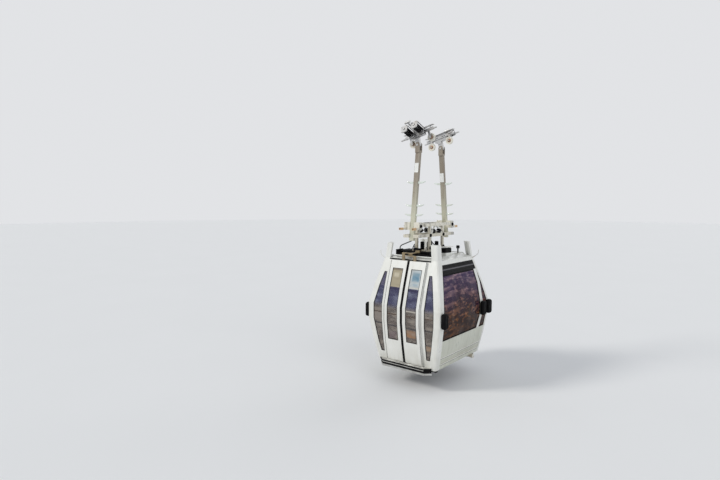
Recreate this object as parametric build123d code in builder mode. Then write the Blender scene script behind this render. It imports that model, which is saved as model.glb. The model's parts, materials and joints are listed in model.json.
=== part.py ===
from build123d import *

import os
from math import cos, hypot, radians, sin

# Cabin of a cable car that hangs from a pair of ropes: body, door leaves, arms, suspension and rope grips.
# X runs along the ropes, Y across them towards the rear face, Z up. The origin lies midway between the two
# rope axes, straight above the pin that the cabin swings on. Millimetres throughout.

os.makedirs("parts", exist_ok=True)

# Driving sizes of the rope line and of the hang.
rope_height = 4480.0  # rope axis above the foot of the corner posts
rope_half_gauge = 440.0
rope_radius = 24.0
rope_slope = 15.0  # degrees, rising towards +X
pivot_drop = 180.0  # swing pin below the rope axis

# Driving sizes of the body outline, each measured from the vertical axis of the cabin.
roof_edge = 2070.0
horn_rise = 300.0
waist_low = 870.0
waist_high = 1165.0
foot_half_length = 670.0
waist_half_length = 840.0
roof_half_length = 625.0
horn_half_length = 588.0
foot_front = 830.0
waist_front = 970.0
roof_front = 705.0
horn_front = 677.0
foot_rear = 940.0
waist_rear = 1020.0
roof_rear = 705.0
horn_rear = 670.0
belly = 12.0  # how far the side lines bow out between foot, waist and roof
lower_knuckle = 0.5  # where the bow sits between foot and waist
upper_knuckle = 0.4  # where it sits between waist and roof

# Sections of the walls, posts and panes.
wall = 40.0
post_flange = 140.0
rear_post_flange = 100.0
post_round = 42.0
gasket = 22.0
flank_gasket = 12.0
pane = 8.0
pane_setback = 10.0
seam = 6.0

# Splits of the end faces, counted from the floor or down from the roof edge.
sill_line = 585.0
header_depth = 80.0
vent_depth = 185.0
mullion_width = 105.0
flank_width_waist = 175.0
flank_width_foot = 320.0
flank_tip_drop = 390.0

# Door opening, leaves and their play.
door_half_width = 400.0
jamb_width = 90.0
door_foot = 60.0
leaf_head_drop = 30.0
leaf_overlap = 10.0
leaf_gap = 8.0
leaf_depth = 32.0
leaf_play = 3.0
seal_width = 22.0
leaf_stile = 70.0
leaf_window_foot = 490.0
leaf_top_rail = 150.0

horn_top = roof_edge + horn_rise
vent_line = roof_edge - header_depth
window_line = vent_line - vent_depth
flank_tip = roof_edge - flank_tip_drop
door_head = roof_edge - leaf_head_drop
leaf_window_head = door_head - leaf_top_rail
span = 4 * waist_rear  # longer than the body in every direction


def up(height):
    """World Z of a height above the foot of the corner posts."""
    return height - rope_height


def between(low, high, part, bow=0.0):
    """Value a given part of the way from low to high, pushed out by a bow."""
    return low + (high - low) * part + bow


# Rows of the outline: height, half length, reach of the door face, reach of the rear face.
END, DOOR, REAR = range(1, 4)
foot_row = (0.0, foot_half_length, foot_front, foot_rear)
low_waist_row = (waist_low, waist_half_length, waist_front, waist_rear)
high_waist_row = (waist_high, waist_half_length, waist_front, waist_rear)
roof_row = (roof_edge, roof_half_length, roof_front, roof_rear)
horn_row = (horn_top, horn_half_length, horn_front, horn_rear)


def bowed_row(low, high, part):
    """Row between two others, bowed outwards."""
    reaches = tuple(between(low[i], high[i], part, belly) for i in (END, DOOR, REAR))
    return (between(low[0], high[0], part),) + reaches


outline = (
    foot_row,
    bowed_row(foot_row, low_waist_row, lower_knuckle),
    low_waist_row,
    high_waist_row,
    bowed_row(high_waist_row, roof_row, upper_knuckle),
    roof_row,
)


def reach(face, height):
    """Distance of a face from the middle of the cabin at a height."""
    rows = outline + (horn_row,)
    for low, high in zip(rows, rows[1:]):
        if height <= high[0]:
            return between(low[face], high[face], (height - low[0]) / (high[0] - low[0]))
    return horn_row[face]


def levels(low, high):
    """Heights at which a stretch of wall changes its slope, with its own two ends."""
    return [low] + [row[0] for row in outline if low < row[0] < high] + [high]


def block(x, y, z, mode=Mode.ADD):
    """Box between two limits along each axis."""
    with Locations(((x[0] + x[1]) / 2, (y[0] + y[1]) / 2, (z[0] + z[1]) / 2)):
        Box(x[1] - x[0], y[1] - y[0], z[1] - z[0], mode=mode)


def disc(x, y, z, radius, length, axis=Axis.X, mode=Mode.ADD):
    """Cylinder centred on a point, with its axis along X, Y or Z."""
    turn = {Axis.X: (0, 90, 0), Axis.Y: (90, 0, 0), Axis.Z: (0, 0, 0)}[axis]
    with Locations(Location((x, y, z), turn)):
        Cylinder(radius, length, mode=mode)


def bay(face, limits, low, high, inset, thickness, margin=0.0):
    """Stretch of one face between two edge lines, drawn in by a margin."""
    rows = levels(low, high)
    side = -1 if face == DOOR else 1
    outer = [(side * (reach(face, row) - inset), up(row)) for row in rows]
    inner = [(side * (reach(face, row) - inset - thickness), up(row)) for row in reversed(rows)]
    left = [(limits(row)[0] + margin, up(row)) for row in rows]
    right = [(limits(row)[1] - margin, up(row)) for row in reversed(rows)]
    across, along = (Plane.XZ, Plane.YZ) if face == END else (Plane.YZ, Plane.XZ)
    with BuildPart() as stretch:
        with BuildSketch(across):
            Polygon(*outer, *inner, align=None)
        extrude(amount=span, both=True)
        with BuildSketch(along):
            Polygon(*left, *right, align=None)
        extrude(amount=span, both=True, mode=Mode.INTERSECT)
    return stretch.part


def tapered_box(low, high):
    """Solid between two level rectangles, each a height, a half length, a front reach and a rear reach."""
    with BuildPart() as body:
        with BuildSketch(Plane.XZ):
            Polygon(
                (-low[END], up(low[0])),
                (low[END], up(low[0])),
                (high[END], up(high[0])),
                (-high[END], up(high[0])),
                align=None,
            )
        extrude(amount=span, both=True)
        with BuildSketch(Plane.YZ):
            Polygon(
                (-low[DOOR], up(low[0])),
                (low[REAR], up(low[0])),
                (high[REAR], up(high[0])),
                (-high[DOOR], up(high[0])),
                align=None,
            )
        extrude(amount=span, both=True, mode=Mode.INTERSECT)
    return body.part


def drawn_in(row, height, inset):
    """Outline row at another height, with all its reaches drawn in."""
    return (height,) + tuple(row[i] - inset for i in (END, DOOR, REAR))


# Edge lines of the bays.
def mullion_edges(height):
    """Edges across of the window post, which leans with the rear corner and meets it below the roof."""
    if height < waist_low:
        gap = between(flank_width_foot, flank_width_waist, height / waist_low)
    elif height < waist_high:
        gap = flank_width_waist
    else:
        gap = flank_width_waist * max(0.0, 1 - (height - waist_high) / (flank_tip - waist_high))
    far = reach(REAR, height) - rear_post_flange - gap
    return far - mullion_width, far


def end_limits(height):
    """Edges of the whole end face between its corner posts."""
    return -(reach(DOOR, height) - post_flange), reach(REAR, height) - rear_post_flange


def main_limits(height):
    """Edges of the wide window on the end face."""
    return end_limits(height)[0], mullion_edges(height)[0]


def flank_limits(height):
    """Edges of the narrow window behind the window post."""
    return mullion_edges(height)[1], end_limits(height)[1]


def main_panel_limits(height):
    """Edges of the lower panel up to the middle of the window post."""
    near, far = mullion_edges(height)
    return end_limits(height)[0], (near + far - seam) / 2


def rear_panel_limits(height):
    """Edges of the lower panel from the middle of the window post to the rear corner."""
    near, far = mullion_edges(height)
    return (near + far + seam) / 2, end_limits(height)[1]


def face_limits(height):
    """Edges of the door face or rear face between its corner posts."""
    half = reach(END, height) - post_flange
    return -half, half


def door_flank_limits(height):
    """Edges of the window between the right door jamb and its corner post."""
    return door_half_width + jamb_width, reach(END, height) - post_flange


# Corner posts, angle sections that run up past the roof as horns.
with BuildPart() as corner_posts:
    for side, face, flange in ((-1, DOOR, post_flange), (1, REAR, rear_post_flange)):
        for row in outline + (horn_row,):
            with BuildSketch(Plane.XY.offset(up(row[0]))):
                with Locations((row[END] - post_flange / 2, side * (row[face] - flange / 2))):
                    Rectangle(post_flange, flange)
                fillet(vertices().sort_by(lambda v: v.X + side * v.Y)[-1], post_round)
                with Locations((row[END] - post_flange / 2 - wall, side * (row[face] - flange / 2 - wall))):
                    Rectangle(post_flange, flange, mode=Mode.SUBTRACT)
        loft(ruled=True)
    mirror(about=Plane.YZ)

with BuildPart() as window_posts:
    add(bay(END, mullion_edges, sill_line, window_line, 0.0, wall))
    mirror(about=Plane.YZ)

with BuildPart() as end_headers:
    add(bay(END, end_limits, vent_line, roof_edge, 0.0, wall))
    mirror(about=Plane.YZ)

vent_inset = 6.0
with BuildPart() as vent_strips:
    add(bay(END, end_limits, window_line, vent_line, vent_inset, wall - 2 * vent_inset))
    mirror(about=Plane.YZ)

# Lower end panels in two bays, with two pressed creases along the skirt.
crease_lines = (118.0, 160.0)
crease_height = 12.0
crease_depth = 5.0
with BuildPart() as end_panels:
    for limits in (main_panel_limits, rear_panel_limits):
        add(bay(END, limits, 0.0, sill_line, 0.0, wall))
    for line in crease_lines:
        crease = bay(END, end_limits, line, line + crease_height, -crease_depth, 2 * crease_depth)
        add(crease, mode=Mode.SUBTRACT)
    mirror(about=Plane.YZ)

# Panes of the end faces in their gaskets.
flank_head = flank_tip - 140.0  # the narrow window ends just below the tip of its bay
gasket_inset = 4.0
with BuildPart() as window_gaskets:
    for limits, head, edge in ((main_limits, window_line, gasket), (flank_limits, flank_head, flank_gasket)):
        add(bay(END, limits, sill_line, head, gasket_inset, wall - 2 * gasket_inset))
        opening = bay(END, limits, sill_line + gasket, head - gasket, -wall, 3 * wall, edge)
        add(opening, mode=Mode.SUBTRACT)
    mirror(about=Plane.YZ)

with BuildPart() as end_windows:
    add(bay(END, main_limits, sill_line + gasket, window_line - gasket, pane_setback, pane, gasket))
    add(bay(END, flank_limits, sill_line + gasket, flank_head - gasket, pane_setback, pane, flank_gasket))
    mirror(about=Plane.YZ)

# Filler that closes each end face between the narrow window and the header.
with BuildPart() as window_fillers:
    add(bay(END, flank_limits, flank_head, flank_tip - 2 * seam, vent_inset, wall - 2 * vent_inset))
    mirror(about=Plane.YZ)

# Door face: header, jambs and foot rail in one welded frame, with the two flank windows.
door_flank_foot = 190.0
door_flank_rise = 0.7  # how far its window reaches from waist to roof
door_flank_head = between(waist_high, roof_edge, door_flank_rise)
header_foot = door_head - 50.0
with BuildPart() as door_frame:
    add(bay(DOOR, face_limits, 0.0, roof_edge, 0.0, wall))
    block(
        (-door_half_width, door_half_width),
        (-waist_front - wall, -roof_front + 2 * wall),
        (up(door_foot), up(header_foot)),
        mode=Mode.SUBTRACT,
    )
    flank_cut = bay(DOOR, door_flank_limits, door_flank_foot, door_flank_head, -wall, 3 * wall)
    add(flank_cut, mode=Mode.SUBTRACT)
    add(mirror(flank_cut, about=Plane.YZ, mode=Mode.PRIVATE), mode=Mode.SUBTRACT)

with BuildPart() as flank_windows:
    add(bay(DOOR, door_flank_limits, door_flank_foot, door_flank_head, pane_setback, pane))
    mirror(about=Plane.YZ)

# Rear face: one wide window between two side windows over a full width panel.
rear_sill_line = 900.0
rear_header = 170.0
rear_side_drop = 300.0
rear_window_half = 400.0
rear_mullion = 60.0
rear_window_head = roof_edge - rear_header
rear_side_head = rear_window_head - rear_side_drop


def rear_window_limits(height):
    """Edges of the wide window in the middle of the rear face."""
    return -rear_window_half, rear_window_half


def rear_side_limits(height):
    """Edges of the window between the right rear mullion and its corner post."""
    return rear_window_half + rear_mullion, reach(END, height) - post_flange - gasket


with BuildPart() as rear_wall:
    add(bay(REAR, face_limits, 0.0, roof_edge, 0.0, wall))
    add(bay(REAR, rear_window_limits, rear_sill_line, rear_window_head, -wall, 3 * wall), mode=Mode.SUBTRACT)
    side_cut = bay(REAR, rear_side_limits, rear_sill_line, rear_side_head, -wall, 3 * wall)
    add(side_cut, mode=Mode.SUBTRACT)
    add(mirror(side_cut, about=Plane.YZ, mode=Mode.PRIVATE), mode=Mode.SUBTRACT)

with BuildPart() as rear_windows:
    add(bay(REAR, rear_side_limits, rear_sill_line, rear_side_head, pane_setback, pane))
    mirror(about=Plane.YZ)
    add(bay(REAR, rear_window_limits, rear_sill_line, rear_window_head, pane_setback, pane))

# Roof panel with a shallow crown, seated on the wall heads and notched round the horns.
roof_crown = 40.0
roof_thickness = 12.0
roof_lip = 6.0
crown_inset = 150.0
post_play = 3.0
roof_top = roof_edge + roof_crown
with BuildPart() as roof_panel:
    add(tapered_box(drawn_in(roof_row, roof_edge, roof_lip), drawn_in(roof_row, roof_top, crown_inset)))
    hollow_foot = drawn_in(roof_row, roof_edge, wall + roof_thickness)
    hollow_head = drawn_in(roof_row, roof_top - roof_thickness, crown_inset)
    add(tapered_box(hollow_foot, hollow_head), mode=Mode.SUBTRACT)
    notch = reach(END, roof_top) - post_flange - post_play
    for side, face, flange in ((-1, DOOR, post_flange), (1, REAR, rear_post_flange)):
        for end in (-1, 1):
            x = sorted((end * notch, end * waist_half_length))
            y = sorted((side * (reach(face, roof_top) - flange - post_play), side * waist_rear))
            block(x, y, (up(roof_edge), up(horn_top)), mode=Mode.SUBTRACT)

# Floor pan inside the walls, and the frame beneath it with the round lifting lugs at its rear corners.
floor_depth = 60.0
floor_gap = 0.3
with BuildPart() as floor_pan:
    foot_inset = wall + floor_gap
    floor_row = (0.0,) + tuple(reach(face, floor_depth) for face in (END, DOOR, REAR))
    add(tapered_box(drawn_in(foot_row, 0.0, foot_inset), drawn_in(floor_row, floor_depth, foot_inset)))

frame_rail_depth = 70.0
frame_rail_width = 60.0
frame_rail_inset = 150.0
cross_member_pitch = 330.0
lug_radius = 38.0
lug_length = 90.0
lug_inset = 330.0
lug_play = 15.0
with BuildPart() as under_frame:
    rail_z = (up(-frame_rail_depth), up(0.0))
    rail_half = foot_half_length - frame_rail_width
    rail_rows = (-foot_front + frame_rail_inset, foot_rear - frame_rail_inset)
    for y in rail_rows:
        block((-rail_half, rail_half), (y - frame_rail_width / 2, y + frame_rail_width / 2), rail_z)
    for x in (-cross_member_pitch, 0.0, cross_member_pitch):
        block((x - frame_rail_width / 2, x + frame_rail_width / 2), rail_rows, rail_z)

with BuildPart() as lifting_lugs:
    lug_mid = foot_half_length - lug_length / 2 - lug_play
    for side in (-1, 1):
        disc(side * lug_mid, foot_rear - lug_inset, up(-lug_radius), lug_radius, lug_length)

# Tread in front of the doors with the rail that hangs below it.
tread_reach = 120.0
tread_depth = 22.0
tread_half = 600.0
tread_corner = 110.0
tread_drop = 15.0  # below the foot of the leaves
tread_step = 20.0
rail_setback = 15.0
rail_hanger = 12.0
rail_hanger_part = 0.7
tread_top = door_foot - tread_drop
tread_back = -reach(DOOR, tread_top)
rail_bar = 40.0
rail_drop = 70.0
with BuildPart() as door_tread:
    with BuildSketch(Plane.XY.offset(up(tread_top - tread_depth))):
        Polygon(
            (-tread_half, tread_back),
            (-tread_half, tread_back - tread_step),
            (-tread_half + tread_corner, tread_back - tread_reach),
            (tread_half - tread_corner, tread_back - tread_reach),
            (tread_half, tread_back - tread_step),
            (tread_half, tread_back),
            align=None,
        )
    extrude(amount=tread_depth)
    rail_front = tread_back - tread_reach + rail_setback
    rail_y = (rail_front, rail_front + rail_bar)
    rail_top = tread_top - tread_depth - rail_drop
    rail_x = (-tread_half + tread_corner, tread_half - tread_corner)
    block(rail_x, rail_y, (up(rail_top - rail_bar), up(rail_top)))
    for x in (-rail_hanger_part * tread_half, 0.0, rail_hanger_part * tread_half):
        block((x - rail_hanger, x + rail_hanger), rail_y, (up(rail_top), up(rail_top + rail_drop)))

# Rubber bumpers at the waist of every post on the end faces.
bumper_width = 150.0
bumper_height = 290.0
bumper_reach = 95.0
bumper_round = 62.0
bumper_mid = (waist_low + waist_high) / 2 - 20.0
bumper_places = (
    -(waist_front - leaf_gap - 4.0 - bumper_width / 2),
    waist_rear - rear_post_flange - flank_width_waist - mullion_width / 2,
    waist_rear - bumper_width / 2,
)
with BuildPart() as bumpers:
    for y in bumper_places:
        block(
            (waist_half_length, waist_half_length + bumper_reach),
            (y - bumper_width / 2, y + bumper_width / 2),
            (up(bumper_mid - bumper_height / 2), up(bumper_mid + bumper_height / 2)),
        )
    fillet(edges().filter_by(Axis.Y).group_by(Axis.X)[-1], bumper_round)
    mirror(about=Plane.YZ)

# Benches along both ends: folded pans with a front apron, and seat and back pads.
bench_depth = 430.0
bench_height = 450.0
bench_pad = 50.0
bench_apron = 40.0
bench_front = -560.0
bench_rear = 870.0
back_height = 930.0
back_pad_foot = 60.0
back_pad_head = 40.0
bench_play = 2.0
bench_round = 18.0
seat_back = reach(END, bench_height - bench_pad) - wall - bench_play
with BuildPart() as bench_bases:
    apron = seat_back - bench_depth + bench_apron
    apron_z = (up(floor_depth), up(bench_height - bench_pad))
    block((apron, apron + bench_apron), (bench_front, bench_rear), apron_z)
    mirror(about=Plane.YZ)

with BuildPart() as bench_pads:
    pad_z = (up(bench_height - bench_pad), up(bench_height))
    block((seat_back - bench_depth, seat_back), (bench_front, bench_rear), pad_z)
    fillet(edges().filter_by(Axis.Y).sort_by(Axis.X)[:2], bench_round)
    back_line = [reach(END, height) - wall - bench_play for height in (bench_height, back_height)]
    with BuildSketch(Plane.XZ.offset(-bench_rear)):
        Polygon(
            (back_line[0], up(bench_height)),
            (back_line[1], up(back_height)),
            (back_line[1] - back_pad_head, up(back_height)),
            (back_line[0] - back_pad_foot, up(bench_height)),
            align=None,
        )
    extrude(amount=bench_rear - bench_front)
    mirror(about=Plane.YZ)

# Grab rail for standing passengers across the wide rear window, on posts that stand on its mullions.
grab_height = 1130.0
grab_radius = 17.0
grab_out = 60.0
grab_half = rear_window_half + rear_mullion + 10.0
grab_post = rear_mullion / 2 + 10.0
with BuildPart() as grab_rail:
    grab_y = reach(REAR, grab_height) - wall - grab_out
    post_radius = grab_radius * 0.7
    post_end = reach(REAR, grab_height - post_radius) - wall
    disc(0, grab_y, up(grab_height), grab_radius, 2 * grab_half)
    for x in (-grab_half + grab_post, grab_half - grab_post):
        disc(x, (grab_y + post_end) / 2, up(grab_height), post_radius, post_end - grab_y, Axis.Y)


# Door leaves, each a bowed frame that runs outside the wall.
def leaf_slab(x, height, gap, depth):
    """Slab that follows the bow of the door face in front of the wall."""
    rows = levels(*height)
    inner = [(-(reach(DOOR, row) + gap), up(row)) for row in rows]
    outer = [(-(reach(DOOR, row) + gap + depth), up(row)) for row in reversed(rows)]
    with BuildPart() as slab:
        with BuildSketch(Plane.YZ.offset(x[0])):
            Polygon(*inner, *outer, align=None)
        extrude(amount=x[1] - x[0])
    return slab.part


leaf_edge = door_half_width + leaf_overlap
leaf_start = leaf_play + seal_width
leaf_window = (leaf_start + leaf_stile, leaf_edge - leaf_stile)
leaf_window_height = (leaf_window_foot, leaf_window_head)

with BuildPart() as right_leaf:
    add(leaf_slab((leaf_start, leaf_edge), (door_foot, door_head), leaf_gap, leaf_depth))
    window_cut = leaf_slab(leaf_window, leaf_window_height, leaf_gap - wall, leaf_depth + 2 * wall)
    add(window_cut, mode=Mode.SUBTRACT)

with BuildPart() as right_leaf_window:
    add(leaf_slab(leaf_window, leaf_window_height, leaf_gap + leaf_depth - 2 * pane, pane))

with BuildPart() as right_leaf_seal:
    add(leaf_slab((leaf_play, leaf_start), (door_foot, door_head), leaf_gap, leaf_depth + 4.0))

with BuildPart() as left_leaf:
    mirror(right_leaf.part, about=Plane.YZ)

with BuildPart() as left_leaf_window:
    mirror(right_leaf_window.part, about=Plane.YZ)

with BuildPart() as left_leaf_seal:
    mirror(right_leaf_seal.part, about=Plane.YZ)

# Door drive on the roof: two rods, each with the carriage of one leaf, and the belt drive behind them.
rod_radius = 14.0
rod_bracket = 12.0
rod_eye = 30.0
rod_rise = 42.0  # lower rod above the roof
rod_step = 55.0  # upper rod above the lower one
rod_pitch = 80.0
front_rod_inset = 110.0
carriage_half = 45.0
carriage_width = 52.0
carriage_depth = 46.0
carriage_shift = 55.0
carriage_play = 0.08
hanger_thickness = 16.0
hanger_width = 50.0
tab_near = 100.0
tab_far = 160.0
tab_play = 8.0
door_travel = door_half_width - leaf_overlap
rod_half = door_travel - 2.0
right_rod = (-roof_front + front_rod_inset, roof_top + rod_rise)
left_rod = (right_rod[0] + rod_pitch, right_rod[1] + rod_step)
drive_half = 210.0
drive_depth = 80.0
drive_height = 85.0
drive_front = left_rod[0] + rod_pitch - 35.0
pulley_radius = 42.0
pulley_width = 26.0
pulley_height = 60.0
pulley_out = 95.0
pedestal = 30.0
belt_thickness = 8.0
belt_width = 20.0
with BuildPart() as door_drive:
    for y, height in (right_rod, left_rod):
        disc(0, y, up(height), rod_radius, 2 * rod_half + rod_bracket)
    drive_mid = drive_front + drive_depth / 2
    pulley_x = drive_half + pulley_out
    for side in (-1, 1):
        x = sorted((side * rod_half, side * (rod_half + rod_bracket)))
        bracket_y = (right_rod[0] - rod_eye, drive_front + drive_depth)
        block(x, bracket_y, (up(roof_top), up(left_rod[1] + rod_eye)))
        disc(side * pulley_x, drive_mid, up(roof_top + pulley_height), pulley_radius, pulley_width, Axis.Z)
        x = (side * pulley_x - pedestal / 2, side * pulley_x + pedestal / 2)
        y = (drive_mid - pedestal / 2, drive_mid + pedestal / 2)
        block(x, y, (up(roof_top), up(roof_top + pulley_height)))
        belt_y = drive_mid + side * (pulley_radius - belt_thickness / 2)
        belt_mid = up(roof_top + pulley_height)
        belt_z = (belt_mid - belt_width / 2, belt_mid + belt_width / 2)
        block((-pulley_x, pulley_x), (belt_y - belt_thickness / 2, belt_y + belt_thickness / 2), belt_z)
    drive_y = (drive_front, drive_front + drive_depth)
    block((-drive_half, drive_half), drive_y, (up(roof_top), up(roof_top + drive_height)))


def leaf_hanger(side, rod):
    """Carriage block on its rod with the bar that reaches over the header to the leaf."""
    rod_y, rod_height = rod
    bar_foot = rod_height - carriage_depth / 2 - 1.0
    lip = reach(DOOR, door_head) + leaf_gap
    bar_z = (up(bar_foot), up(bar_foot + hanger_thickness))
    lip_y = (-lip - leaf_depth, -lip - tab_play)
    mid = -side * carriage_shift
    with BuildPart() as hanger:
        block(
            (mid - carriage_half, mid + carriage_half),
            (rod_y - carriage_width / 2, rod_y + carriage_width / 2),
            (up(bar_foot), up(rod_height + carriage_depth / 2 - 1.0)),
        )
        block((mid - hanger_width / 2, mid + hanger_width / 2), (lip_y[0], rod_y - 20.0), bar_z)
        block(sorted((mid - side * hanger_width / 2, side * tab_far)), lip_y, bar_z)
        block(sorted((side * tab_near, side * tab_far)), lip_y, (up(door_head), bar_z[1]))
        disc(mid, rod_y, up(rod_height), rod_radius + carriage_play, 4 * carriage_half, mode=Mode.SUBTRACT)
    return hanger


right_leaf_hanger = leaf_hanger(1, right_rod)
left_leaf_hanger = leaf_hanger(-1, left_rod)

# Bent rods at two opposite corners of the roof.
bent_rod_radius = 8.0
bent_rod_foot = 60.0  # below the roof edge
bent_rod_out = 120.0
bent_rod_rise = 110.0
bent_rod_tip = 90.0
rod_foot_height = roof_edge - bent_rod_foot


def bent_rod(side, face, flange):
    """Rod that leaves a corner post on one side, level at first, and turns upwards."""
    root = (side * (reach(END, rod_foot_height) - wall), side * (reach(face, rod_foot_height) - flange / 2))
    start = (root[0], root[1], up(rod_foot_height))
    knee = (root[0] + side * (wall + bent_rod_out), root[1], up(rod_foot_height) + bent_rod_rise)
    with BuildPart() as rod:
        with BuildLine():
            Polyline(start, knee, (knee[0], knee[1], knee[2] + bent_rod_tip))
        with BuildSketch(Plane(origin=start, z_dir=(knee[0] - start[0], 0, bent_rod_rise))):
            Circle(bent_rod_radius)
        sweep(transition=Transition.RIGHT)
        add(corner_posts.part, mode=Mode.SUBTRACT)
    return rod.part.solids().sort_by(Axis.Z)[-1]


with BuildPart() as roof_rods:
    add(bent_rod(-1, DOOR, post_flange))
    add(bent_rod(1, REAR, rear_post_flange))

# Suspension frame on four rubber buffers: base plate, legs, two levels of beams, and brackets for the arms.
buffer_height = 85.0
buffer_radius = 45.0
frame_height = 565.0
frame_half_length = 150.0
frame_half_width = 250.0
leg = 50.0
plate_thickness = 22.0
plate_margin = 80.0
plate_corner = 40.0
arm_depth = 100.0  # along the ropes
arm_width = 60.0  # across
arm_foot_reach = 650.0
fork_height = 130.0
lower_beam_lift = 295.0
beam_depth = 60.0
arm_tail = 60.0  # arm below the lower beam
bracket_height = 150.0
bracket_half = 48.0
stub_width = 38.0
stub_length = 230.0
stub_drop = 95.0
frame_foot = roof_top + buffer_height
plate_top = frame_foot + plate_thickness
frame_head = frame_foot + frame_height
lower_beam = frame_foot + lower_beam_lift
arm_foot = lower_beam - arm_tail
arm_tip = rope_height - pivot_drop - fork_height
with BuildPart() as roof_buffers:
    with Locations((0, 0, up(roof_top + buffer_height / 2))):
        with GridLocations(2 * frame_half_length, 2 * frame_half_width, 2, 2):
            Cylinder(buffer_radius, buffer_height)


def arm_reach(height):
    """Distance across from the middle to the axis of a hanger arm."""
    return between(arm_foot_reach, rope_half_gauge, (height - arm_foot) / (arm_tip - arm_foot))


with BuildPart() as suspension_frame:
    plate_x = frame_half_length + plate_margin
    plate_y = frame_half_width + plate_margin
    block((-plate_x, plate_x), (-plate_y, plate_y), (up(frame_foot), up(plate_top)))
    chamfer(edges().filter_by(Axis.Z), plate_corner)
    for x in (-frame_half_length, frame_half_length):
        beam_x = (x - leg / 2, x + leg / 2)
        for y in (-frame_half_width, frame_half_width):
            block(beam_x, (y - leg / 2, y + leg / 2), (up(plate_top), up(frame_head)))
        for height in (lower_beam, frame_head - beam_depth):
            half = arm_reach(height + beam_depth / 2) + arm_width / 2
            block(beam_x, (-half, half), (up(height), up(height + beam_depth)))
    for y in (-frame_half_width, frame_half_width):
        for height in (lower_beam, frame_head - beam_depth):
            tie_z = (up(height), up(height + beam_depth))
            block((-frame_half_length, frame_half_length), (y - leg / 2, y + leg / 2), tie_z)
    for side in (-1, 1):
        for foot, head in (
            (lower_beam, lower_beam + beam_depth),
            (frame_head - bracket_height + beam_depth / 2, frame_head + beam_depth / 2),
        ):
            y = side * arm_reach((foot + head) / 2)
            for end in (-1, 1):
                x = sorted((end * arm_depth / 2, end * (frame_half_length + leg / 2)))
                block(x, (y - bracket_half, y + bracket_half), (up(foot), up(head)))
        stub_height = frame_head - stub_drop
        stub_root = arm_reach(frame_head - bracket_height / 2)
        for end in (-1, 1):
            x = end * frame_half_length
            stub_y = sorted((side * stub_root, side * (stub_root + stub_length)))
            stub_z = (up(stub_height - stub_width / 2), up(stub_height + stub_width / 2))
            block((x - stub_width / 2, x + stub_width / 2), stub_y, stub_z)

# Braces between the two levels of beams, and the upright damper in the middle.
brace = 30.0
brace_spread = 40.0
damper_radius = 34.0
damper_rod_radius = 16.0
damper_split = 0.55
with BuildPart() as frame_braces:
    for end in (-1, 1):
        x = end * frame_half_length
        for side in (-1, 1):
            head_y = side * brace_spread
            foot_y = side * (frame_half_width - leg / 2)
            run = foot_y - head_y
            fall = frame_head - beam_depth - lower_beam - beam_depth
            skew = brace * hypot(run, fall) / fall / 2
            with BuildSketch(Plane.YZ.offset(x - brace / 2)):
                Polygon(
                    (head_y - skew, up(frame_head - beam_depth)),
                    (head_y + skew, up(frame_head - beam_depth)),
                    (foot_y - side * skew + skew, up(lower_beam + beam_depth)),
                    (foot_y - side * skew - skew, up(lower_beam + beam_depth)),
                    align=None,
                )
            extrude(amount=brace)

with BuildPart() as damper:
    split = between(plate_top, frame_head, damper_split)
    disc(0, 0, up((plate_top + split) / 2), damper_radius, split - plate_top, Axis.Z)
    disc(0, 0, up((split + frame_head) / 2), damper_rod_radius, frame_head - split, Axis.Z)
    cross_x = (-frame_half_length + leg / 2, frame_half_length - leg / 2)
    block(cross_x, (-brace, brace), (up(frame_head - beam_depth), up(frame_head)))

# Hanger arms, box sections that lean in towards the ropes and end in forks.
cheek_gap = 35.0
cheek = 15.0
pin_radius = 22.0
pin_head = 8.0
with BuildPart() as hanger_arms:
    for height in (arm_foot, arm_tip):
        with BuildSketch(Plane.XY.offset(up(height))):
            with Locations((0, -arm_reach(height))):
                Rectangle(arm_depth, arm_width)
    loft(ruled=True)
    fork_out = cheek_gap + cheek
    block(
        (-arm_depth / 2, arm_depth / 2),
        (-rope_half_gauge - fork_out, -rope_half_gauge + fork_out),
        (up(arm_tip - 20.0), up(arm_tip + 20.0)),
    )
    for side in (-1, 1):
        y = sorted((-rope_half_gauge + side * cheek_gap, -rope_half_gauge + side * fork_out))
        block((-arm_depth / 2, arm_depth / 2), y, (up(arm_tip), -pivot_drop))
        disc(0, sum(y) / 2, -pivot_drop, arm_depth / 2, cheek, Axis.Y)
    disc(0, -rope_half_gauge, -pivot_drop, pin_radius, 4 * cheek_gap, Axis.Y, mode=Mode.SUBTRACT)
    mirror(about=Plane.XZ)

with BuildPart() as swing_pins:
    for side in (-1, 1):
        disc(0, side * rope_half_gauge, -pivot_drop, pin_radius, 2 * (cheek_gap + cheek + pin_head), Axis.Y)

# Round rubber bushes where arms, brackets and damper meet.
bush_radius = 26.0
bush_length = 16.0
with BuildPart() as frame_bushes:
    for side in (-1, 1):
        y = side * arm_reach(frame_head - bracket_height / 2 + beam_depth / 2)
        for end in (-1, 1):
            x = end * (frame_half_length + leg / 2 + bush_length / 2)
            disc(x, y, up(frame_head - bracket_height / 2 + beam_depth / 2), bush_radius, bush_length)

# Rungs on the arms, shallow flat bows that turn up towards their ends.
rung_rows = (480.0, 665.0, 1115.0)  # above the arm foot
rung_half = 215.0
rung_rise = 24.0
rung_straight = 90.0
rung_thickness = 22.0
rung_width = 32.0
with BuildPart() as arm_rungs:
    for rise in rung_rows:
        y = -arm_reach(arm_foot + rise)
        foot = up(arm_foot + rise)
        for side in (-1, 1):
            with BuildSketch(Plane.XZ.offset(-y - rung_width / 2)):
                Polygon(
                    (side * arm_depth / 2, foot),
                    (side * rung_straight, foot),
                    (side * rung_half, foot + rung_rise),
                    (side * rung_half, foot + rung_rise + rung_thickness),
                    (side * rung_straight, foot + rung_thickness),
                    (side * arm_depth / 2, foot + rung_thickness),
                    align=None,
                )
            extrude(amount=rung_width)
    mirror(about=Plane.XZ)

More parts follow.
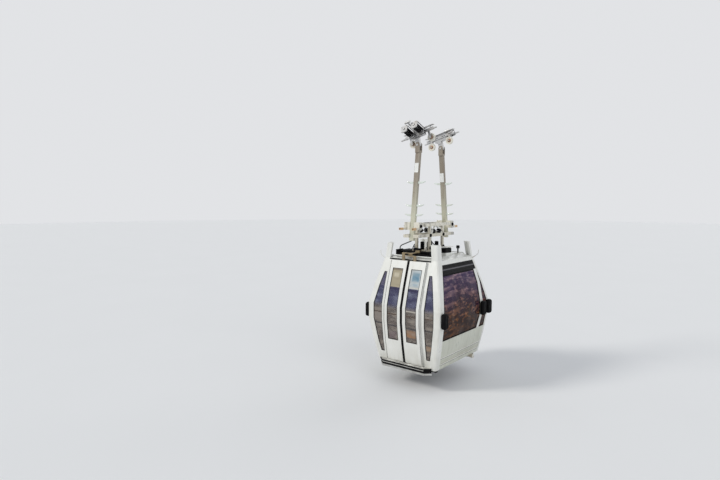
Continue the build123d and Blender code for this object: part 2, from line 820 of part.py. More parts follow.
# Blank plates on the outer side of each arm, laid on its lean.
plate_drop = 410.0  # below the fork
plate_length = 190.0
plate_width = 80.0
plate_depth = 6.0
with BuildPart() as label_plates:
    for height in (arm_tip - plate_drop, arm_tip - plate_drop + plate_length):
        with BuildSketch(Plane.XY.offset(up(height))):
            with Locations((0, -arm_reach(height) - arm_width / 2 - plate_depth / 2)):
                Rectangle(plate_width, plate_depth)
    loft(ruled=True)
    mirror(about=Plane.XZ)

# Rope grips, built on the slope of the rope and repeated on the other rope. In each grip's own axes x runs
# up the rope, y points inwards between the ropes and z stands square to it; the origin is on the rope's axis.
slope_cos = cos(radians(rope_slope))
slope_sin = sin(radians(rope_slope))
grip_origin = (0, -rope_half_gauge, 0)
up_rope = (slope_cos, 0, slope_sin)
grip_plane = Plane(origin=grip_origin, x_dir=up_rope, z_dir=(-slope_sin, 0, slope_cos))
grip_side = Plane(origin=grip_origin, x_dir=up_rope, z_dir=(0, -1, 0))
grip_cross = Plane(origin=grip_origin, x_dir=(0, 1, 0), z_dir=up_rope)
pivot_along = -pivot_drop * slope_sin
pivot_below = -pivot_drop * slope_cos

guide_half = 330.0
guide_web = 8.0
guide_web_inset = 60.0
guide_foot = rope_radius - 2.0
guide_head = guide_foot + 52.0
guide_near = rope_radius + 2.0
guide_far = rope_radius + 34.0
slot_length = 80.0
slot_height = 20.0
jaw_half = 150.0
jaw_back = 40.0
jaw_foot = -rope_radius - 6.0
jaw_head = 110.0
jaw_width = 50.0
jaw_gap = 6.0
jaw_crest = rope_radius + 10.0
pin_across = -46.0
pin_above = 78.0
jaw_pin_radius = 12.0
knuckle_radius = 26.0
knuckle_half = 24.0
ear_play = 5.0
ear = 12.0
pin_play = 0.08
neck_half = 45.0
boss_half = cheek_gap - 5.0
friction_half = 345.0
friction_width = 80.0
friction_depth = 8.0

spring_tilt = 26.0  # degrees that the springs rise outwards
spring_radius = 66.0
spring_length = 205.0
spring_pitch = 230.0
spring_root = (-95.0, 50.0)  # across and above, on the inner seat
seat_depth = 16.0
seat_half = spring_radius + 6.0
seat_corner = 18.0
tie_width = 16.0
bridge_depth = 22.0
lever_half = 15.0
lever_depth = 34.0
lever_end = (-300.0, 235.0)  # across and above
lever_roller_radius = 22.0
lever_roller_half = 62.0

roller_radius = 78.0
roller_width = 40.0
roller_along = 215.0
roller_below = -98.0
roller_gap = 14.0
axle_radius = 15.0
axle_play = 0.08
axle_end = 10.0
carrier_half = 22.0
carrier_depth = 28.0
tongue_tip = 420.0
tongue_half = 17.0
tongue_root_height = 38.0
tongue_tip_height = 8.0

# Planes across a spring pack, whose axis runs from the inner seat outwards and up.
lean = radians(spring_tilt)
spring_axis = grip_plane.from_local_coords(Vector(0, -cos(lean), sin(lean))) - Vector(*grip_origin)


def spring_plane(along, out=0.0):
    """Plane across a spring pack, a given way out from its inner seat."""
    across, above = spring_root
    place = grip_plane.from_local_coords(Vector(along, across - out * cos(lean), above + out * sin(lean)))
    return Plane(origin=place, x_dir=grip_plane.x_dir, z_dir=spring_axis)


def tie_bars(along):
    """Two square bars between the seats, at the upper corners of a spring pack."""
    tie = seat_half - tie_width / 2
    with BuildPart() as bars:
        with BuildSketch(spring_plane(along)):
            with Locations((-tie, tie), (tie, tie)):
                Rectangle(tie_width, tie_width)
        extrude(amount=spring_length)
    return bars.part


def spring_pack(along):
    """Outer form of the coil springs between two seats."""
    with BuildPart() as pack:
        with BuildSketch(spring_plane(along)):
            Circle(spring_radius)
        extrude(amount=spring_length)
    return pack.part


def seat_plate(along, out):
    """Plate across one end of a spring pack, with its corners cut."""
    with BuildPart() as plate:
        with BuildSketch(spring_plane(along, out)):
            Rectangle(2 * seat_half, 2 * seat_half)
            chamfer(vertices(), seat_corner)
        extrude(amount=seat_depth)
    return plate.part


def tongue(root, tip):
    """Wedge on top of the rope that thins towards its tip, in the grip's own axes."""
    with BuildPart(mode=Mode.PRIVATE) as wedge:
        with BuildSketch(Plane.XZ):
            Polygon(
                (root, 0.0),
                (tip, 0.0),
                (tip, rope_radius + tongue_tip_height),
                (root, rope_radius + tongue_root_height),
                align=None,
            )
        extrude(amount=tongue_half, both=True)
    return wedge.part


with BuildPart(grip_plane) as grip_casting:
    block((-jaw_half, jaw_half), (0.0, jaw_back), (jaw_foot, jaw_head))
    block((-guide_half, guide_half), (guide_near, guide_far), (guide_foot, guide_head))
    slot_middle = (guide_head + guide_foot) / 2
    for part in (-0.75, -0.25, 0.25, 0.75):
        x = part * guide_half
        block(
            (x - slot_length / 2, x + slot_length / 2),
            (jaw_back, 2 * guide_far),
            (slot_middle - slot_height / 2, slot_middle + slot_height / 2),
            mode=Mode.SUBTRACT,
        )
    block((-friction_half, friction_half), (0.0, friction_width), (jaw_head, jaw_head + friction_depth))
    for end in (-1, 1):
        x = end * (guide_half - guide_web_inset)
        block((x - guide_web, x + guide_web), (guide_near, guide_far), (guide_head, jaw_head))
        ear_x = sorted((end * (knuckle_half + ear_play), end * (knuckle_half + ear_play + ear)))
        block(ear_x, (pin_across - knuckle_radius, jaw_back), (pin_above - knuckle_radius, jaw_head))
        bridge_x = sorted((end * (knuckle_half + ear_play), end * (spring_pitch / 2 + seat_half)))
        block(bridge_x, (spring_root[0] + 35.0, jaw_back), (jaw_head - bridge_depth, jaw_head))
        tongue_root = end * (jaw_half + ear_play)
        add(tongue(tongue_root, end * tongue_tip))
        web_x = sorted((tongue_root, end * guide_half))
        block(web_x, (0.0, guide_near + 2.0), (rope_radius, rope_radius + tongue_tip_height))
    disc(0, pin_across, pin_above, jaw_pin_radius, 2 * (knuckle_half + ear_play + ear + pin_head))
    for along in (-roller_along, roller_along):
        carrier_x = (along - carrier_half, along + carrier_half)
        block(carrier_x, (guide_far - carrier_depth, guide_far), (roller_below - carrier_half, guide_foot))
        axle_tip = guide_far + roller_gap + roller_width + axle_end
        disc(along, (guide_far + axle_tip) / 2, roller_below, axle_radius, axle_tip - guide_far, Axis.Y)
    disc(0, 0, 0, rope_radius, 4 * guide_half, mode=Mode.SUBTRACT)
    neck = (pivot_along - neck_half, pivot_along + neck_half)
    block(neck, (0.0, jaw_back), (jaw_foot - 50.0, jaw_foot))
    block(neck, (-boss_half, boss_half), (pivot_below, jaw_foot - 12.0))
    disc(pivot_along, 0, pivot_below, neck_half, 2 * boss_half, Axis.Y)
    disc(pivot_along, 0, pivot_below, pin_radius + pin_play, 4 * boss_half, Axis.Y, mode=Mode.SUBTRACT)

with BuildPart() as front_grip_body:
    add(grip_casting.part)
    for along in (-spring_pitch / 2, spring_pitch / 2):
        add(seat_plate(along, -seat_depth))
        add(seat_plate(along, spring_length))
        add(tie_bars(along))

with BuildPart(grip_plane) as front_jaw:
    block((-jaw_half, jaw_half), (-jaw_gap - jaw_width, -jaw_gap), (jaw_foot + 2.0, jaw_crest))
    disc(0, 0, 0, rope_radius, 4 * jaw_half, mode=Mode.SUBTRACT)
    block(
        (-knuckle_half, knuckle_half),
        (pin_across - knuckle_radius + 8.0, pin_across + knuckle_radius - 8.0),
        (jaw_crest - 10.0, pin_above),
    )
    disc(0, pin_across, pin_above, knuckle_radius, 2 * knuckle_half)
    lever_run = hypot(lever_end[0] - pin_across, lever_end[1] - pin_above)
    lever_up = (-(lever_end[1] - pin_above) / lever_run, (lever_end[0] - pin_across) / lever_run)
    step = tuple(lever_depth / 2 * part for part in lever_up)
    with BuildSketch(grip_cross):
        Polygon(
            (pin_across - step[0], pin_above - step[1]),
            (lever_end[0] - step[0] / 2, lever_end[1] - step[1] / 2),
            (lever_end[0] + step[0] / 2, lever_end[1] + step[1] / 2),
            (pin_across + step[0], pin_above + step[1]),
            align=None,
        )
    extrude(amount=lever_half, both=True)
    disc(0, lever_end[0], lever_end[1], lever_roller_radius, 2 * lever_roller_half)
    disc(0, pin_across, pin_above, jaw_pin_radius + pin_play, 4 * knuckle_half, mode=Mode.SUBTRACT)

with BuildPart() as grip_springs:
    for along in (-spring_pitch / 2, spring_pitch / 2):
        add(spring_pack(along))
    mirror(about=Plane.XZ)


def rope_roller(along):
    """Roller beside the rope on its axle."""
    with BuildPart(grip_plane) as roller:
        across = guide_far + roller_gap + roller_width / 2
        disc(along, across, roller_below, roller_radius, roller_width, Axis.Y)
        bore = axle_radius + axle_play
        disc(along, across, roller_below, bore, 2 * roller_width, Axis.Y, mode=Mode.SUBTRACT)
    return roller


front_lower_roller = rope_roller(-roller_along)
front_upper_roller = rope_roller(roller_along)

with BuildPart() as rear_grip_body:
    mirror(front_grip_body.part, about=Plane.XZ)

with BuildPart() as rear_jaw:
    mirror(front_jaw.part, about=Plane.XZ)

with BuildPart() as rear_lower_roller:
    mirror(front_lower_roller.part, about=Plane.XZ)

with BuildPart() as rear_upper_roller:
    mirror(front_upper_roller.part, about=Plane.XZ)

corner_posts.part.label = "corner_posts"
export_step(corner_posts.part, "parts/corner_posts.step")
window_posts.part.label = "window_posts"
export_step(window_posts.part, "parts/window_posts.step")
end_headers.part.label = "end_headers"
export_step(end_headers.part, "parts/end_headers.step")
vent_strips.part.label = "vent_strips"
export_step(vent_strips.part, "parts/vent_strips.step")
end_panels.part.label = "end_panels"
export_step(end_panels.part, "parts/end_panels.step")
window_gaskets.part.label = "window_gaskets"
export_step(window_gaskets.part, "parts/window_gaskets.step")
end_windows.part.label = "end_windows"
export_step(end_windows.part, "parts/end_windows.step")
window_fillers.part.label = "window_fillers"
export_step(window_fillers.part, "parts/window_fillers.step")
door_frame.part.label = "door_frame"
export_step(door_frame.part, "parts/door_frame.step")
flank_windows.part.label = "flank_windows"
export_step(flank_windows.part, "parts/flank_windows.step")
rear_wall.part.label = "rear_wall"
export_step(rear_wall.part, "parts/rear_wall.step")
rear_windows.part.label = "rear_windows"
export_step(rear_windows.part, "parts/rear_windows.step")
roof_panel.part.label = "roof_panel"
export_step(roof_panel.part, "parts/roof_panel.step")
floor_pan.part.label = "floor_pan"
export_step(floor_pan.part, "parts/floor_pan.step")
under_frame.part.label = "under_frame"
export_step(under_frame.part, "parts/under_frame.step")
lifting_lugs.part.label = "lifting_lugs"
export_step(lifting_lugs.part, "parts/lifting_lugs.step")
door_tread.part.label = "door_tread"
export_step(door_tread.part, "parts/door_tread.step")
bumpers.part.label = "bumpers"
export_step(bumpers.part, "parts/bumpers.step")
bench_bases.part.label = "bench_bases"
export_step(bench_bases.part, "parts/bench_bases.step")
bench_pads.part.label = "bench_pads"
export_step(bench_pads.part, "parts/bench_pads.step")
grab_rail.part.label = "grab_rail"
export_step(grab_rail.part, "parts/grab_rail.step")
right_leaf.part.label = "right_leaf"
export_step(right_leaf.part, "parts/right_leaf.step")
right_leaf_window.part.label = "right_leaf_window"
export_step(right_leaf_window.part, "parts/right_leaf_window.step")
right_leaf_seal.part.label = "right_leaf_seal"
export_step(right_leaf_seal.part, "parts/right_leaf_seal.step")
right_leaf_hanger.part.label = "right_leaf_hanger"
export_step(right_leaf_hanger.part, "parts/right_leaf_hanger.step")
left_leaf.part.label = "left_leaf"
export_step(left_leaf.part, "parts/left_leaf.step")
left_leaf_window.part.label = "left_leaf_window"
export_step(left_leaf_window.part, "parts/left_leaf_window.step")
left_leaf_seal.part.label = "left_leaf_seal"
export_step(left_leaf_seal.part, "parts/left_leaf_seal.step")
left_leaf_hanger.part.label = "left_leaf_hanger"
export_step(left_leaf_hanger.part, "parts/left_leaf_hanger.step")
door_drive.part.label = "door_drive"
export_step(door_drive.part, "parts/door_drive.step")
roof_rods.part.label = "roof_rods"
export_step(roof_rods.part, "parts/roof_rods.step")
roof_buffers.part.label = "roof_buffers"
export_step(roof_buffers.part, "parts/roof_buffers.step")
suspension_frame.part.label = "suspension_frame"
export_step(suspension_frame.part, "parts/suspension_frame.step")
frame_braces.part.label = "frame_braces"
export_step(frame_braces.part, "parts/frame_braces.step")
damper.part.label = "damper"
export_step(damper.part, "parts/damper.step")
frame_bushes.part.label = "frame_bushes"
export_step(frame_bushes.part, "parts/frame_bushes.step")
hanger_arms.part.label = "hanger_arms"
export_step(hanger_arms.part, "parts/hanger_arms.step")
swing_pins.part.label = "swing_pins"
export_step(swing_pins.part, "parts/swing_pins.step")
arm_rungs.part.label = "arm_rungs"
export_step(arm_rungs.part, "parts/arm_rungs.step")
label_plates.part.label = "label_plates"
export_step(label_plates.part, "parts/label_plates.step")
front_grip_body.part.label = "front_grip_body"
export_step(front_grip_body.part, "parts/front_grip_body.step")
front_jaw.part.label = "front_jaw"
export_step(front_jaw.part, "parts/front_jaw.step")
front_lower_roller.part.label = "front_lower_roller"
export_step(front_lower_roller.part, "parts/front_lower_roller.step")
front_upper_roller.part.label = "front_upper_roller"
export_step(front_upper_roller.part, "parts/front_upper_roller.step")
rear_grip_body.part.label = "rear_grip_body"
export_step(rear_grip_body.part, "parts/rear_grip_body.step")
rear_jaw.part.label = "rear_jaw"
export_step(rear_jaw.part, "parts/rear_jaw.step")
rear_lower_roller.part.label = "rear_lower_roller"
export_step(rear_lower_roller.part, "parts/rear_lower_roller.step")
rear_upper_roller.part.label = "rear_upper_roller"
export_step(rear_upper_roller.part, "parts/rear_upper_roller.step")
grip_springs.part.label = "grip_springs"
export_step(grip_springs.part, "parts/grip_springs.step")
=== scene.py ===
# %% [markdown]
# # A cable car cabin
# The object is a passenger cabin that hangs on two leaning arms from a pair of ropes. Its solids come from the
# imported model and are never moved. This lesson gives them their finishes, and models by hand what a plain solid
# leaves out: coil springs, tyred rollers, cushions, louvres, bolts and rubber trim.

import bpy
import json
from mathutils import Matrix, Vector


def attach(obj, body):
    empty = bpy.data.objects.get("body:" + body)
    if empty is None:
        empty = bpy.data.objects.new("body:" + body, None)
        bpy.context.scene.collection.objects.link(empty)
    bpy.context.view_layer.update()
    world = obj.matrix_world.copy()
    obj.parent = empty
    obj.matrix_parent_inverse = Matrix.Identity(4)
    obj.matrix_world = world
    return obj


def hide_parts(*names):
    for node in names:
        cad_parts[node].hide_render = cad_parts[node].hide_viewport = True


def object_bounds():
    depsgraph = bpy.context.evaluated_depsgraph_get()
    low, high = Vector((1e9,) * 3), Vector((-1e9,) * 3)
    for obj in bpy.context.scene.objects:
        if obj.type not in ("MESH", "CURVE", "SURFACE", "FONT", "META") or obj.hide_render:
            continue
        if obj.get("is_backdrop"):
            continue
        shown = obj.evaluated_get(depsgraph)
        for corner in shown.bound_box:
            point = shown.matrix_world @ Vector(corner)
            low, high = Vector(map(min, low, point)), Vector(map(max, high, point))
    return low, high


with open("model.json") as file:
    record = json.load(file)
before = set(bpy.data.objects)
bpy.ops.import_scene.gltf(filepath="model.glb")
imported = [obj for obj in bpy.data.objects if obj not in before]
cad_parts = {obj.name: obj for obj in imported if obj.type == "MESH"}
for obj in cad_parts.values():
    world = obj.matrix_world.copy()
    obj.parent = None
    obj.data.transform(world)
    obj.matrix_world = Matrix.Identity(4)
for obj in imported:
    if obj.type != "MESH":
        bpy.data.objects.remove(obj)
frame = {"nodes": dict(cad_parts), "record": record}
cad_low, cad_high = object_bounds()

# %% Tools of the lesson
import json
from math import atan2, cos, hypot, pi, radians, sin

import bmesh
import bpy
from mathutils import Matrix, Vector

nodes = frame["nodes"]
scene = bpy.context.scene
scene.view_settings.view_transform = "Standard"
rope_height = 4.48  # rope axis above the foot of the corner posts
BOTH = (-1, 1)  # signs of the two ends, sides or ropes
quarters = [(end, side) for end in BOTH for side in BOTH]
shift = Matrix.Translation


def level(height):
    """World Z of a height above the foot of the corner posts."""
    return height - rope_height


print("the posts stand on", level(0))

# %% [markdown]
# ## The camera
# The view was worked out from the picture's own perspective: the lens, the distance and the turn are the ones at
# which horns, waist, door seam and grips fall where they are seen. The camera stands in front of the doors, well
# to the right, and a little above the waist.

# %% Place the camera
frame_width = 720
focal_pixels = 500.0
turn = radians(39.6)
tilt = radians(-4.435)
distance, sideways, rise = 10.254, 1.431, 3.20
camera_data = bpy.data.cameras.new("camera")
camera_data.sensor_width = 36.0
camera_data.lens = camera_data.sensor_width * focal_pixels / frame_width
camera = bpy.data.objects.new("camera", camera_data)
scene.collection.objects.link(camera)
right = Vector((cos(turn), sin(turn), 0))
ahead = Vector((-sin(turn) * cos(tilt), cos(turn) * cos(tilt), sin(tilt)))
above = right.cross(ahead)
stand_x = distance * sin(turn) - sideways * cos(turn)
stand_y = -distance * cos(turn) - sideways * sin(turn)
stand = Vector((stand_x, stand_y, level(rise)))
camera.matrix_world = shift(stand) @ Matrix((right, above, -ahead)).transposed().to_4x4()
scene.camera = camera
print("camera at", [round(value, 2) for value in stand], "lens", round(camera_data.lens, 1))

# %% [markdown]
# ## Writing shaders as sums
# A surface is a recipe: a base colour, some variation and some wear. Nodes wired one by one are hard to read, so
# one small class stands for a socket and lets ordinary arithmetic add the Math nodes.

# %% A socket that can be added and multiplied
class Wire:
    """An output socket of a recipe, which arithmetic joins to others."""

    def __init__(self, recipe, socket):
        self.recipe = recipe
        self.socket = socket

    def sum_of(self, operation, first, second):
        return self.recipe.node("ShaderNodeMath", {"operation": operation}, {0: first, 1: second})

    def __add__(self, other):
        return self.sum_of("ADD", self, other)

    def __sub__(self, other):
        return self.sum_of("SUBTRACT", self, other)

    def __rsub__(self, other):
        return self.sum_of("SUBTRACT", other, self)

    def __mul__(self, other):
        return self.sum_of("MULTIPLY", self, other)

    def __gt__(self, other):
        return self.sum_of("GREATER_THAN", self, other)

    def __lt__(self, other):
        return self.sum_of("LESS_THAN", self, other)

    __radd__ = __add__
    __rmul__ = __mul__


def opaque(colour):
    """A colour with full cover; a wire stays as it is."""
    return colour if isinstance(colour, Wire) else (*colour, 1.0)


def dimmed(colour, part):
    """A colour made darker, or brighter up to white."""
    return tuple(min(1.0, value * part) for value in colour)


print("arithmetic on sockets ready")

# %% A recipe for a material
finishes = {}


class Recipe:
    """A material whose shader is written with wires, kept among the finishes under its name."""

    def __init__(self, name):
        self.material = finishes[name] = bpy.data.materials.new(name)
        self.material.use_nodes = True
        self.tree = self.material.node_tree
        self.shader = self.tree.nodes["Principled BSDF"]

    def feed(self, socket, value):
        """Links a wire to a socket, or gives the socket a value."""
        if isinstance(value, Wire):
            self.tree.links.new(value.socket, socket)
        else:
            socket.default_value = value

    def node(self, kind, settings=None, sockets=None, out=0):
        made = self.tree.nodes.new(kind)
        for key, value in (settings or {}).items():
            setattr(made, key, value)
        for key, value in (sockets or {}).items():
            self.feed(made.inputs[key], value)
        return Wire(self, made.outputs[out])

    def place(self):
        """Object coordinates, which are metres of the shared frame."""
        return self.node("ShaderNodeTexCoord", out="Object")

    def axis(self, name):
        return self.node("ShaderNodeSeparateXYZ", sockets={0: self.place()}, out=name)

    def stretched(self, stretch):
        """Object coordinates that draw a pattern out along an axis."""
        return self.node("ShaderNodeMapping", sockets={"Vector": self.place(), "Scale": stretch})

    def noise(self, scale, detail, stretch=(1, 1, 1)):
        """Cloudy values, finer where the scale is larger."""
        sockets = {"Vector": self.stretched(stretch), "Scale": scale, "Detail": detail}
        return self.node("ShaderNodeTexNoise", sockets=sockets)

    def ramp(self, wire, low, high):
        """Values from 0 to 1 between two limits of a wire."""
        sockets = {"Value": wire, "From Min": low, "From Max": high}
        return self.node("ShaderNodeMapRange", {"clamp": True}, sockets)

    def band(self, wire, low, high, fade):
        """1 between two limits of a wire, fading to 0 at both."""
        return self.ramp(wire, low, low + fade) * (1 - self.ramp(wire, high - fade, high))

    def patches(self, low, high, scale, detail, stretch=(1, 1, 1)):
        """Patches of 1 where noise rises past two limits."""
        return self.ramp(self.noise(scale, detail, stretch), low, high)

    def wavy(self, scale, detail, sway):
        """World Z that sways up and down with noise."""
        return self.axis("Z") + self.noise(scale, detail) * sway - sway / 2

    def blend(self, factor, first, second):
        """Colour between two others."""
        sockets = {"Factor": factor, 6: opaque(first), 7: opaque(second)}
        return self.node("ShaderNodeMix", {"data_type": "RGBA"}, sockets, out=2)

    def bump(self, height, strength, distance):
        sockets = {"Height": height, "Strength": strength, "Distance": distance}
        return self.node("ShaderNodeBump", sockets=sockets)

    def grain(self, scale, detail, strength, distance, stretch=(1, 1, 1)):
        """Relief of fine noise."""
        return self.bump(self.noise(scale, detail, stretch), strength, distance)

    def set(self, **values):
        """Gives the main shader its values and links; a name's underscores stand for spaces."""
        for name, value in values.items():
            self.feed(self.shader.inputs[name.replace("_", " ")], value)


print("shader tools ready")

# %% [markdown]
# ## Paint
# The body is sprayed in a warm white and lined inside in beige. Years of rain leave faint streaks that run down,
# more grime low on the panels, and a slight ripple in the gloss. One recipe serves every paint, with its own colour
# and dirt; where a wall is lined, the face's own direction tells whether it looks into the cabin.

# %% Paints
def facing_in(recipe):
    """1 on faces that look towards the middle of the cabin, 0 on the others."""
    middle = (0.0, 0.0, level(1.2))
    out = recipe.node("ShaderNodeVectorMath", {"operation": "SUBTRACT"}, {0: recipe.place(), 1: middle})
    normal = recipe.node("ShaderNodeTexCoord", out="Normal")
    facing = recipe.node("ShaderNodeVectorMath", {"operation": "DOT_PRODUCT"}, {0: out, 1: normal}, out=1)
    return (facing < -0.14) * (recipe.axis("Z") < level(2.058))


def paint(name, colour, dirt, roughness, coat=0.3, lining=None, gloss=0.5):
    """Sprayed metal with rain streaks, grime towards the floor and a faint ripple."""
    recipe = Recipe(name)
    streaks = recipe.patches(0.46, 0.75, 9.0, 6.0, (1.6, 1.6, 0.12))
    clouds = recipe.patches(0.35, 0.75, 2.4, 5.0)
    low = 1 - recipe.ramp(recipe.axis("Z"), level(-0.1), level(0.75))
    grime = streaks * 0.30 + clouds * 0.18 + low * clouds * 0.45
    shade = recipe.blend(grime, colour, dirt)
    if lining:
        cloth = recipe.blend(clouds * 0.6, lining, dimmed(lining, 0.72))
        shade = recipe.blend(facing_in(recipe), shade, cloth)
    recipe.set(
        Base_Color=shade,
        Roughness=grime * 0.35 + roughness,
        Normal=recipe.grain(55.0, 2.0, 0.12, 0.001),
        Specular_IOR_Level=gloss,
        Coat_Weight=coat,
        Coat_Roughness=0.08,
    )


beige = (0.52, 0.46, 0.36)
paint("white_paint", (0.80, 0.80, 0.76), (0.52, 0.50, 0.43), 0.24, lining=beige)
paint("panel_paint", (0.62, 0.63, 0.54), (0.40, 0.40, 0.32), 0.26, lining=beige)
paint("cream_paint", (0.66, 0.61, 0.49), (0.34, 0.26, 0.17), 0.42, 0.1)
paint("dark_paint", (0.005, 0.005, 0.006), (0.022, 0.019, 0.016), 0.5, 0.0, gloss=0.08)
print("paints:", sorted(finishes))


# %% Weathered paint of arms and frame
def weathered(name, low_colour, high_colour, stain_and_shade, low_height, high_height, wear_and_painted_shade=1.0):
    """Old paint that turns from one colour low down to a browned one higher up, with runs of rust and spots, which a
    raised wear darkens into painted shade as well.
    """
    recipe = Recipe(name)
    drift = recipe.ramp(recipe.wavy(2.0, 4.0, 0.5), level(low_height), level(high_height))
    runs = recipe.patches(0.50, 0.74, 14.0, 7.0, (1, 1, 0.10))
    spots = recipe.patches(0.58, 0.72, 38.0, 5.0)
    base = recipe.blend(drift, low_colour, high_colour)
    recipe.set(
        Base_Color=recipe.blend(runs * (0.45 * wear_and_painted_shade) + spots * (0.35 * wear_and_painted_shade), base, stain_and_shade),
        Roughness=runs * 0.2 + spots * 0.2 + 0.42,
        Normal=recipe.grain(120.0, 4.0, 0.25, 0.0012),
        Coat_Weight=0.08,
    )


weathered("arm_paint", (0.55, 0.54, 0.42), (0.27, 0.23, 0.18), (0.16, 0.10, 0.06), 2.9, 3.7)
weathered("stub_paint", (0.62, 0.40, 0.20), (0.62, 0.40, 0.20), (0.28, 0.13, 0.06), 2.0, 3.0)
# The frame's near-black runs and spots, raised by its wear, are oil stains and also painted shade on the sides of its
# legs.
weathered("frame_paint", (0.56, 0.51, 0.40), (0.78, 0.75, 0.65), (0.06, 0.04, 0.025), 2.2, 2.75, 1.6)
weathered("hanger_paint", (0.20, 0.15, 0.085), (0.33, 0.25, 0.14), (0.04, 0.03, 0.02), 1.9, 2.3)
weathered("rung_paint", (0.70, 0.74, 0.68), (0.70, 0.76, 0.70), (0.45, 0.42, 0.33), 2.9, 3.7)
print("with weathered paints:", len(finishes))

# %% [markdown]
# ## Glass
# The windows of the ends are tinted plastic that looks almost black, with painted reflections that turn violet above
# and brown below; the leaves have clearer panes through which lining and seats show. A thin pane is mostly
# see-through with a sharp reflection, so its Alpha carries the tint. The clear panes bend at the waist and at the
# brow, and each band gets its own painted reflection; the lining, a rail and a seat back behind them are painted on
# as soft patches and lines.

# %% Panes
pane_ripple = (3.5, 1.0, 0.25, 0.004)
plastic_ior = 1.49


def glass(name, upper, lower, glints, clarity, gloss):
    """Dark pane whose painted reflections turn from an upper colour to a lower one, darker at its foot, with streaked
    painted glints and a slight wave.
    """
    recipe = Recipe(name)
    drift = recipe.ramp(recipe.wavy(1.6, 3.0, 0.9), level(0.95), level(1.75))
    tint_and_painted_light = recipe.blend(drift, lower, upper)
    glint_specks = recipe.patches(0.52, 0.68, 11.0, 9.0, (1, 0.7, 1.6))
    streaks = recipe.patches(0.50, 0.72, 3.4, 8.0, (1, 0.5, 3.0))
    dust = recipe.patches(0.5, 0.85, 6.0, 6.0, (1, 1, 0.3))
    foot = 1 - recipe.ramp(recipe.wavy(2.2, 4.0, 0.5), level(0.55), level(0.95))
    tint_and_painted_light = recipe.blend(foot * 0.8, tint_and_painted_light, (0.010, 0.003, 0.003))
    glint = recipe.blend(drift, *glints)
    glinting = recipe.blend((glint_specks * 0.50 + streaks * 0.45) * (1 - foot * 0.75), tint_and_painted_light, glint)
    recipe.set(
        Base_Color=recipe.blend(dust * 0.10, glinting, (0.55, 0.52, 0.48)),
        Roughness=dust * 0.08 + 0.04,
        Normal=recipe.grain(*pane_ripple),
        Alpha=dust * 0.05 + (1 - clarity),
        IOR=plastic_ior,
        Specular_IOR_Level=gloss,
    )


def pane_with_painted_views(name, high_left, high_right, high_cover, patches, lines):
    """Clear pane in three painted reflections, parted where it bends, with painted patches and lines of lining and
    seats behind it.
    """
    low_cover, patch_fade, height_fade, line_fade = 0.62, 0.03, 0.04, 0.008
    recipe = Recipe(name)
    across, height = recipe.axis("X"), recipe.axis("Z")
    wavy = recipe.wavy(9.0, 5.0, 0.03)
    waist = recipe.ramp(wavy, level(1.10), level(1.20))
    brow = recipe.ramp(height, level(1.520), level(1.532))
    clouds = recipe.patches(0.42, 0.70, 5.0, 8.0, (1, 1, 2.5))
    # The low, middle and high bands are painted reflections, each of its own colour.
    low = recipe.blend(clouds * 0.8, (0.17, 0.145, 0.13), (0.40, 0.35, 0.30))
    middle = recipe.blend(clouds * 0.8, (0.07, 0.07, 0.145), (0.22, 0.235, 0.33))
    sides = recipe.blend(across > 0, high_left, high_right)
    high = recipe.blend(clouds * 0.5, sides, dimmed(high_left, 0.55))
    tint_and_painted_light = recipe.blend(brow, recipe.blend(waist, low, middle), high)
    for near, far, foot, head, shade in patches:
        inside = recipe.band(across, near, far, patch_fade)
        inside = inside * recipe.band(wavy, level(foot), level(head), height_fade)
        tint_and_painted_light = recipe.blend(inside * (0.9 - clouds * 0.55), tint_and_painted_light, shade)
    for centre, half, side, shade in lines:
        foot, head = level(centre - half) - line_fade / 2, level(centre + half) + line_fade / 2
        line = recipe.band(height, foot, head, line_fade)
        if side:
            line = line * (across * side > 0)
        tint_and_painted_light = recipe.blend(line * 0.85, tint_and_painted_light, shade)
    recipe.set(
        Base_Color=tint_and_painted_light,
        Roughness=clouds * 0.05 + 0.04,
        Normal=recipe.grain(*pane_ripple),
        Alpha=brow * (high_cover - low_cover) + low_cover + clouds * 0.08,
        Specular_IOR_Level=0.4,
        IOR=plastic_ior,
        Coat_Weight=0.1,
        Coat_Roughness=0.02,
    )


tinted_glints = ((0.42, 0.17, 0.06), (0.46, 0.31, 0.36))
# The end windows' violet above, brown below and their orange and pink glints are painted reflections on a dark tint.
glass("tinted_glass", (0.050, 0.030, 0.085), (0.030, 0.010, 0.007), tinted_glints, 0.10, 0.10)
# These colours paint onto the clear panes their reflections and the lining, rails and seats seen through them.
umber, slate, cream = (0.10, 0.06, 0.04), (0.075, 0.07, 0.075), (0.66, 0.62, 0.55)
painted_rails_behind = [(1.005, 0.011, 0, umber), (0.775, 0.016, 0, slate)]
leaf_painted_lines = painted_rails_behind + [
    (1.495, 0.016, 0, (0.045, 0.04, 0.10)),
    (1.105, 0.012, 1, cream),
    (1.545, 0.012, 1, cream),
    (1.862, 0.016, -1, (0.24, 0.20, 0.15)),
]
leaf_painted_patches = [
    (0.130, 0.320, 1.65, 1.85, (0.12, 0.27, 0.38)),
    (0.165, 0.300, 1.57, 1.64, (0.30, 0.45, 0.56)),
    (-0.300, -0.150, 1.70, 1.82, (0.66, 0.60, 0.46)),
    (0.085, 0.330, 0.57, 0.75, (0.46, 0.26, 0.14)),
    (-0.320, -0.120, 0.50, 0.68, (0.24, 0.18, 0.19)),
]
flank_painted_patches = [(0.480, 0.800, 0.36, 0.49, (0.50, 0.34, 0.22)), (-0.90, -0.48, 0.80, 1.10, (0.36, 0.31, 0.27))]
pane_with_painted_views("door_glass", (0.46, 0.40, 0.28), (0.60, 0.66, 0.68), 0.85, leaf_painted_patches, leaf_painted_lines)
pane_with_painted_views("flank_glass", (0.16, 0.15, 0.23), (0.19, 0.18, 0.25), 0.60, flank_painted_patches, painted_rails_behind)
print("with panes:", len(finishes))

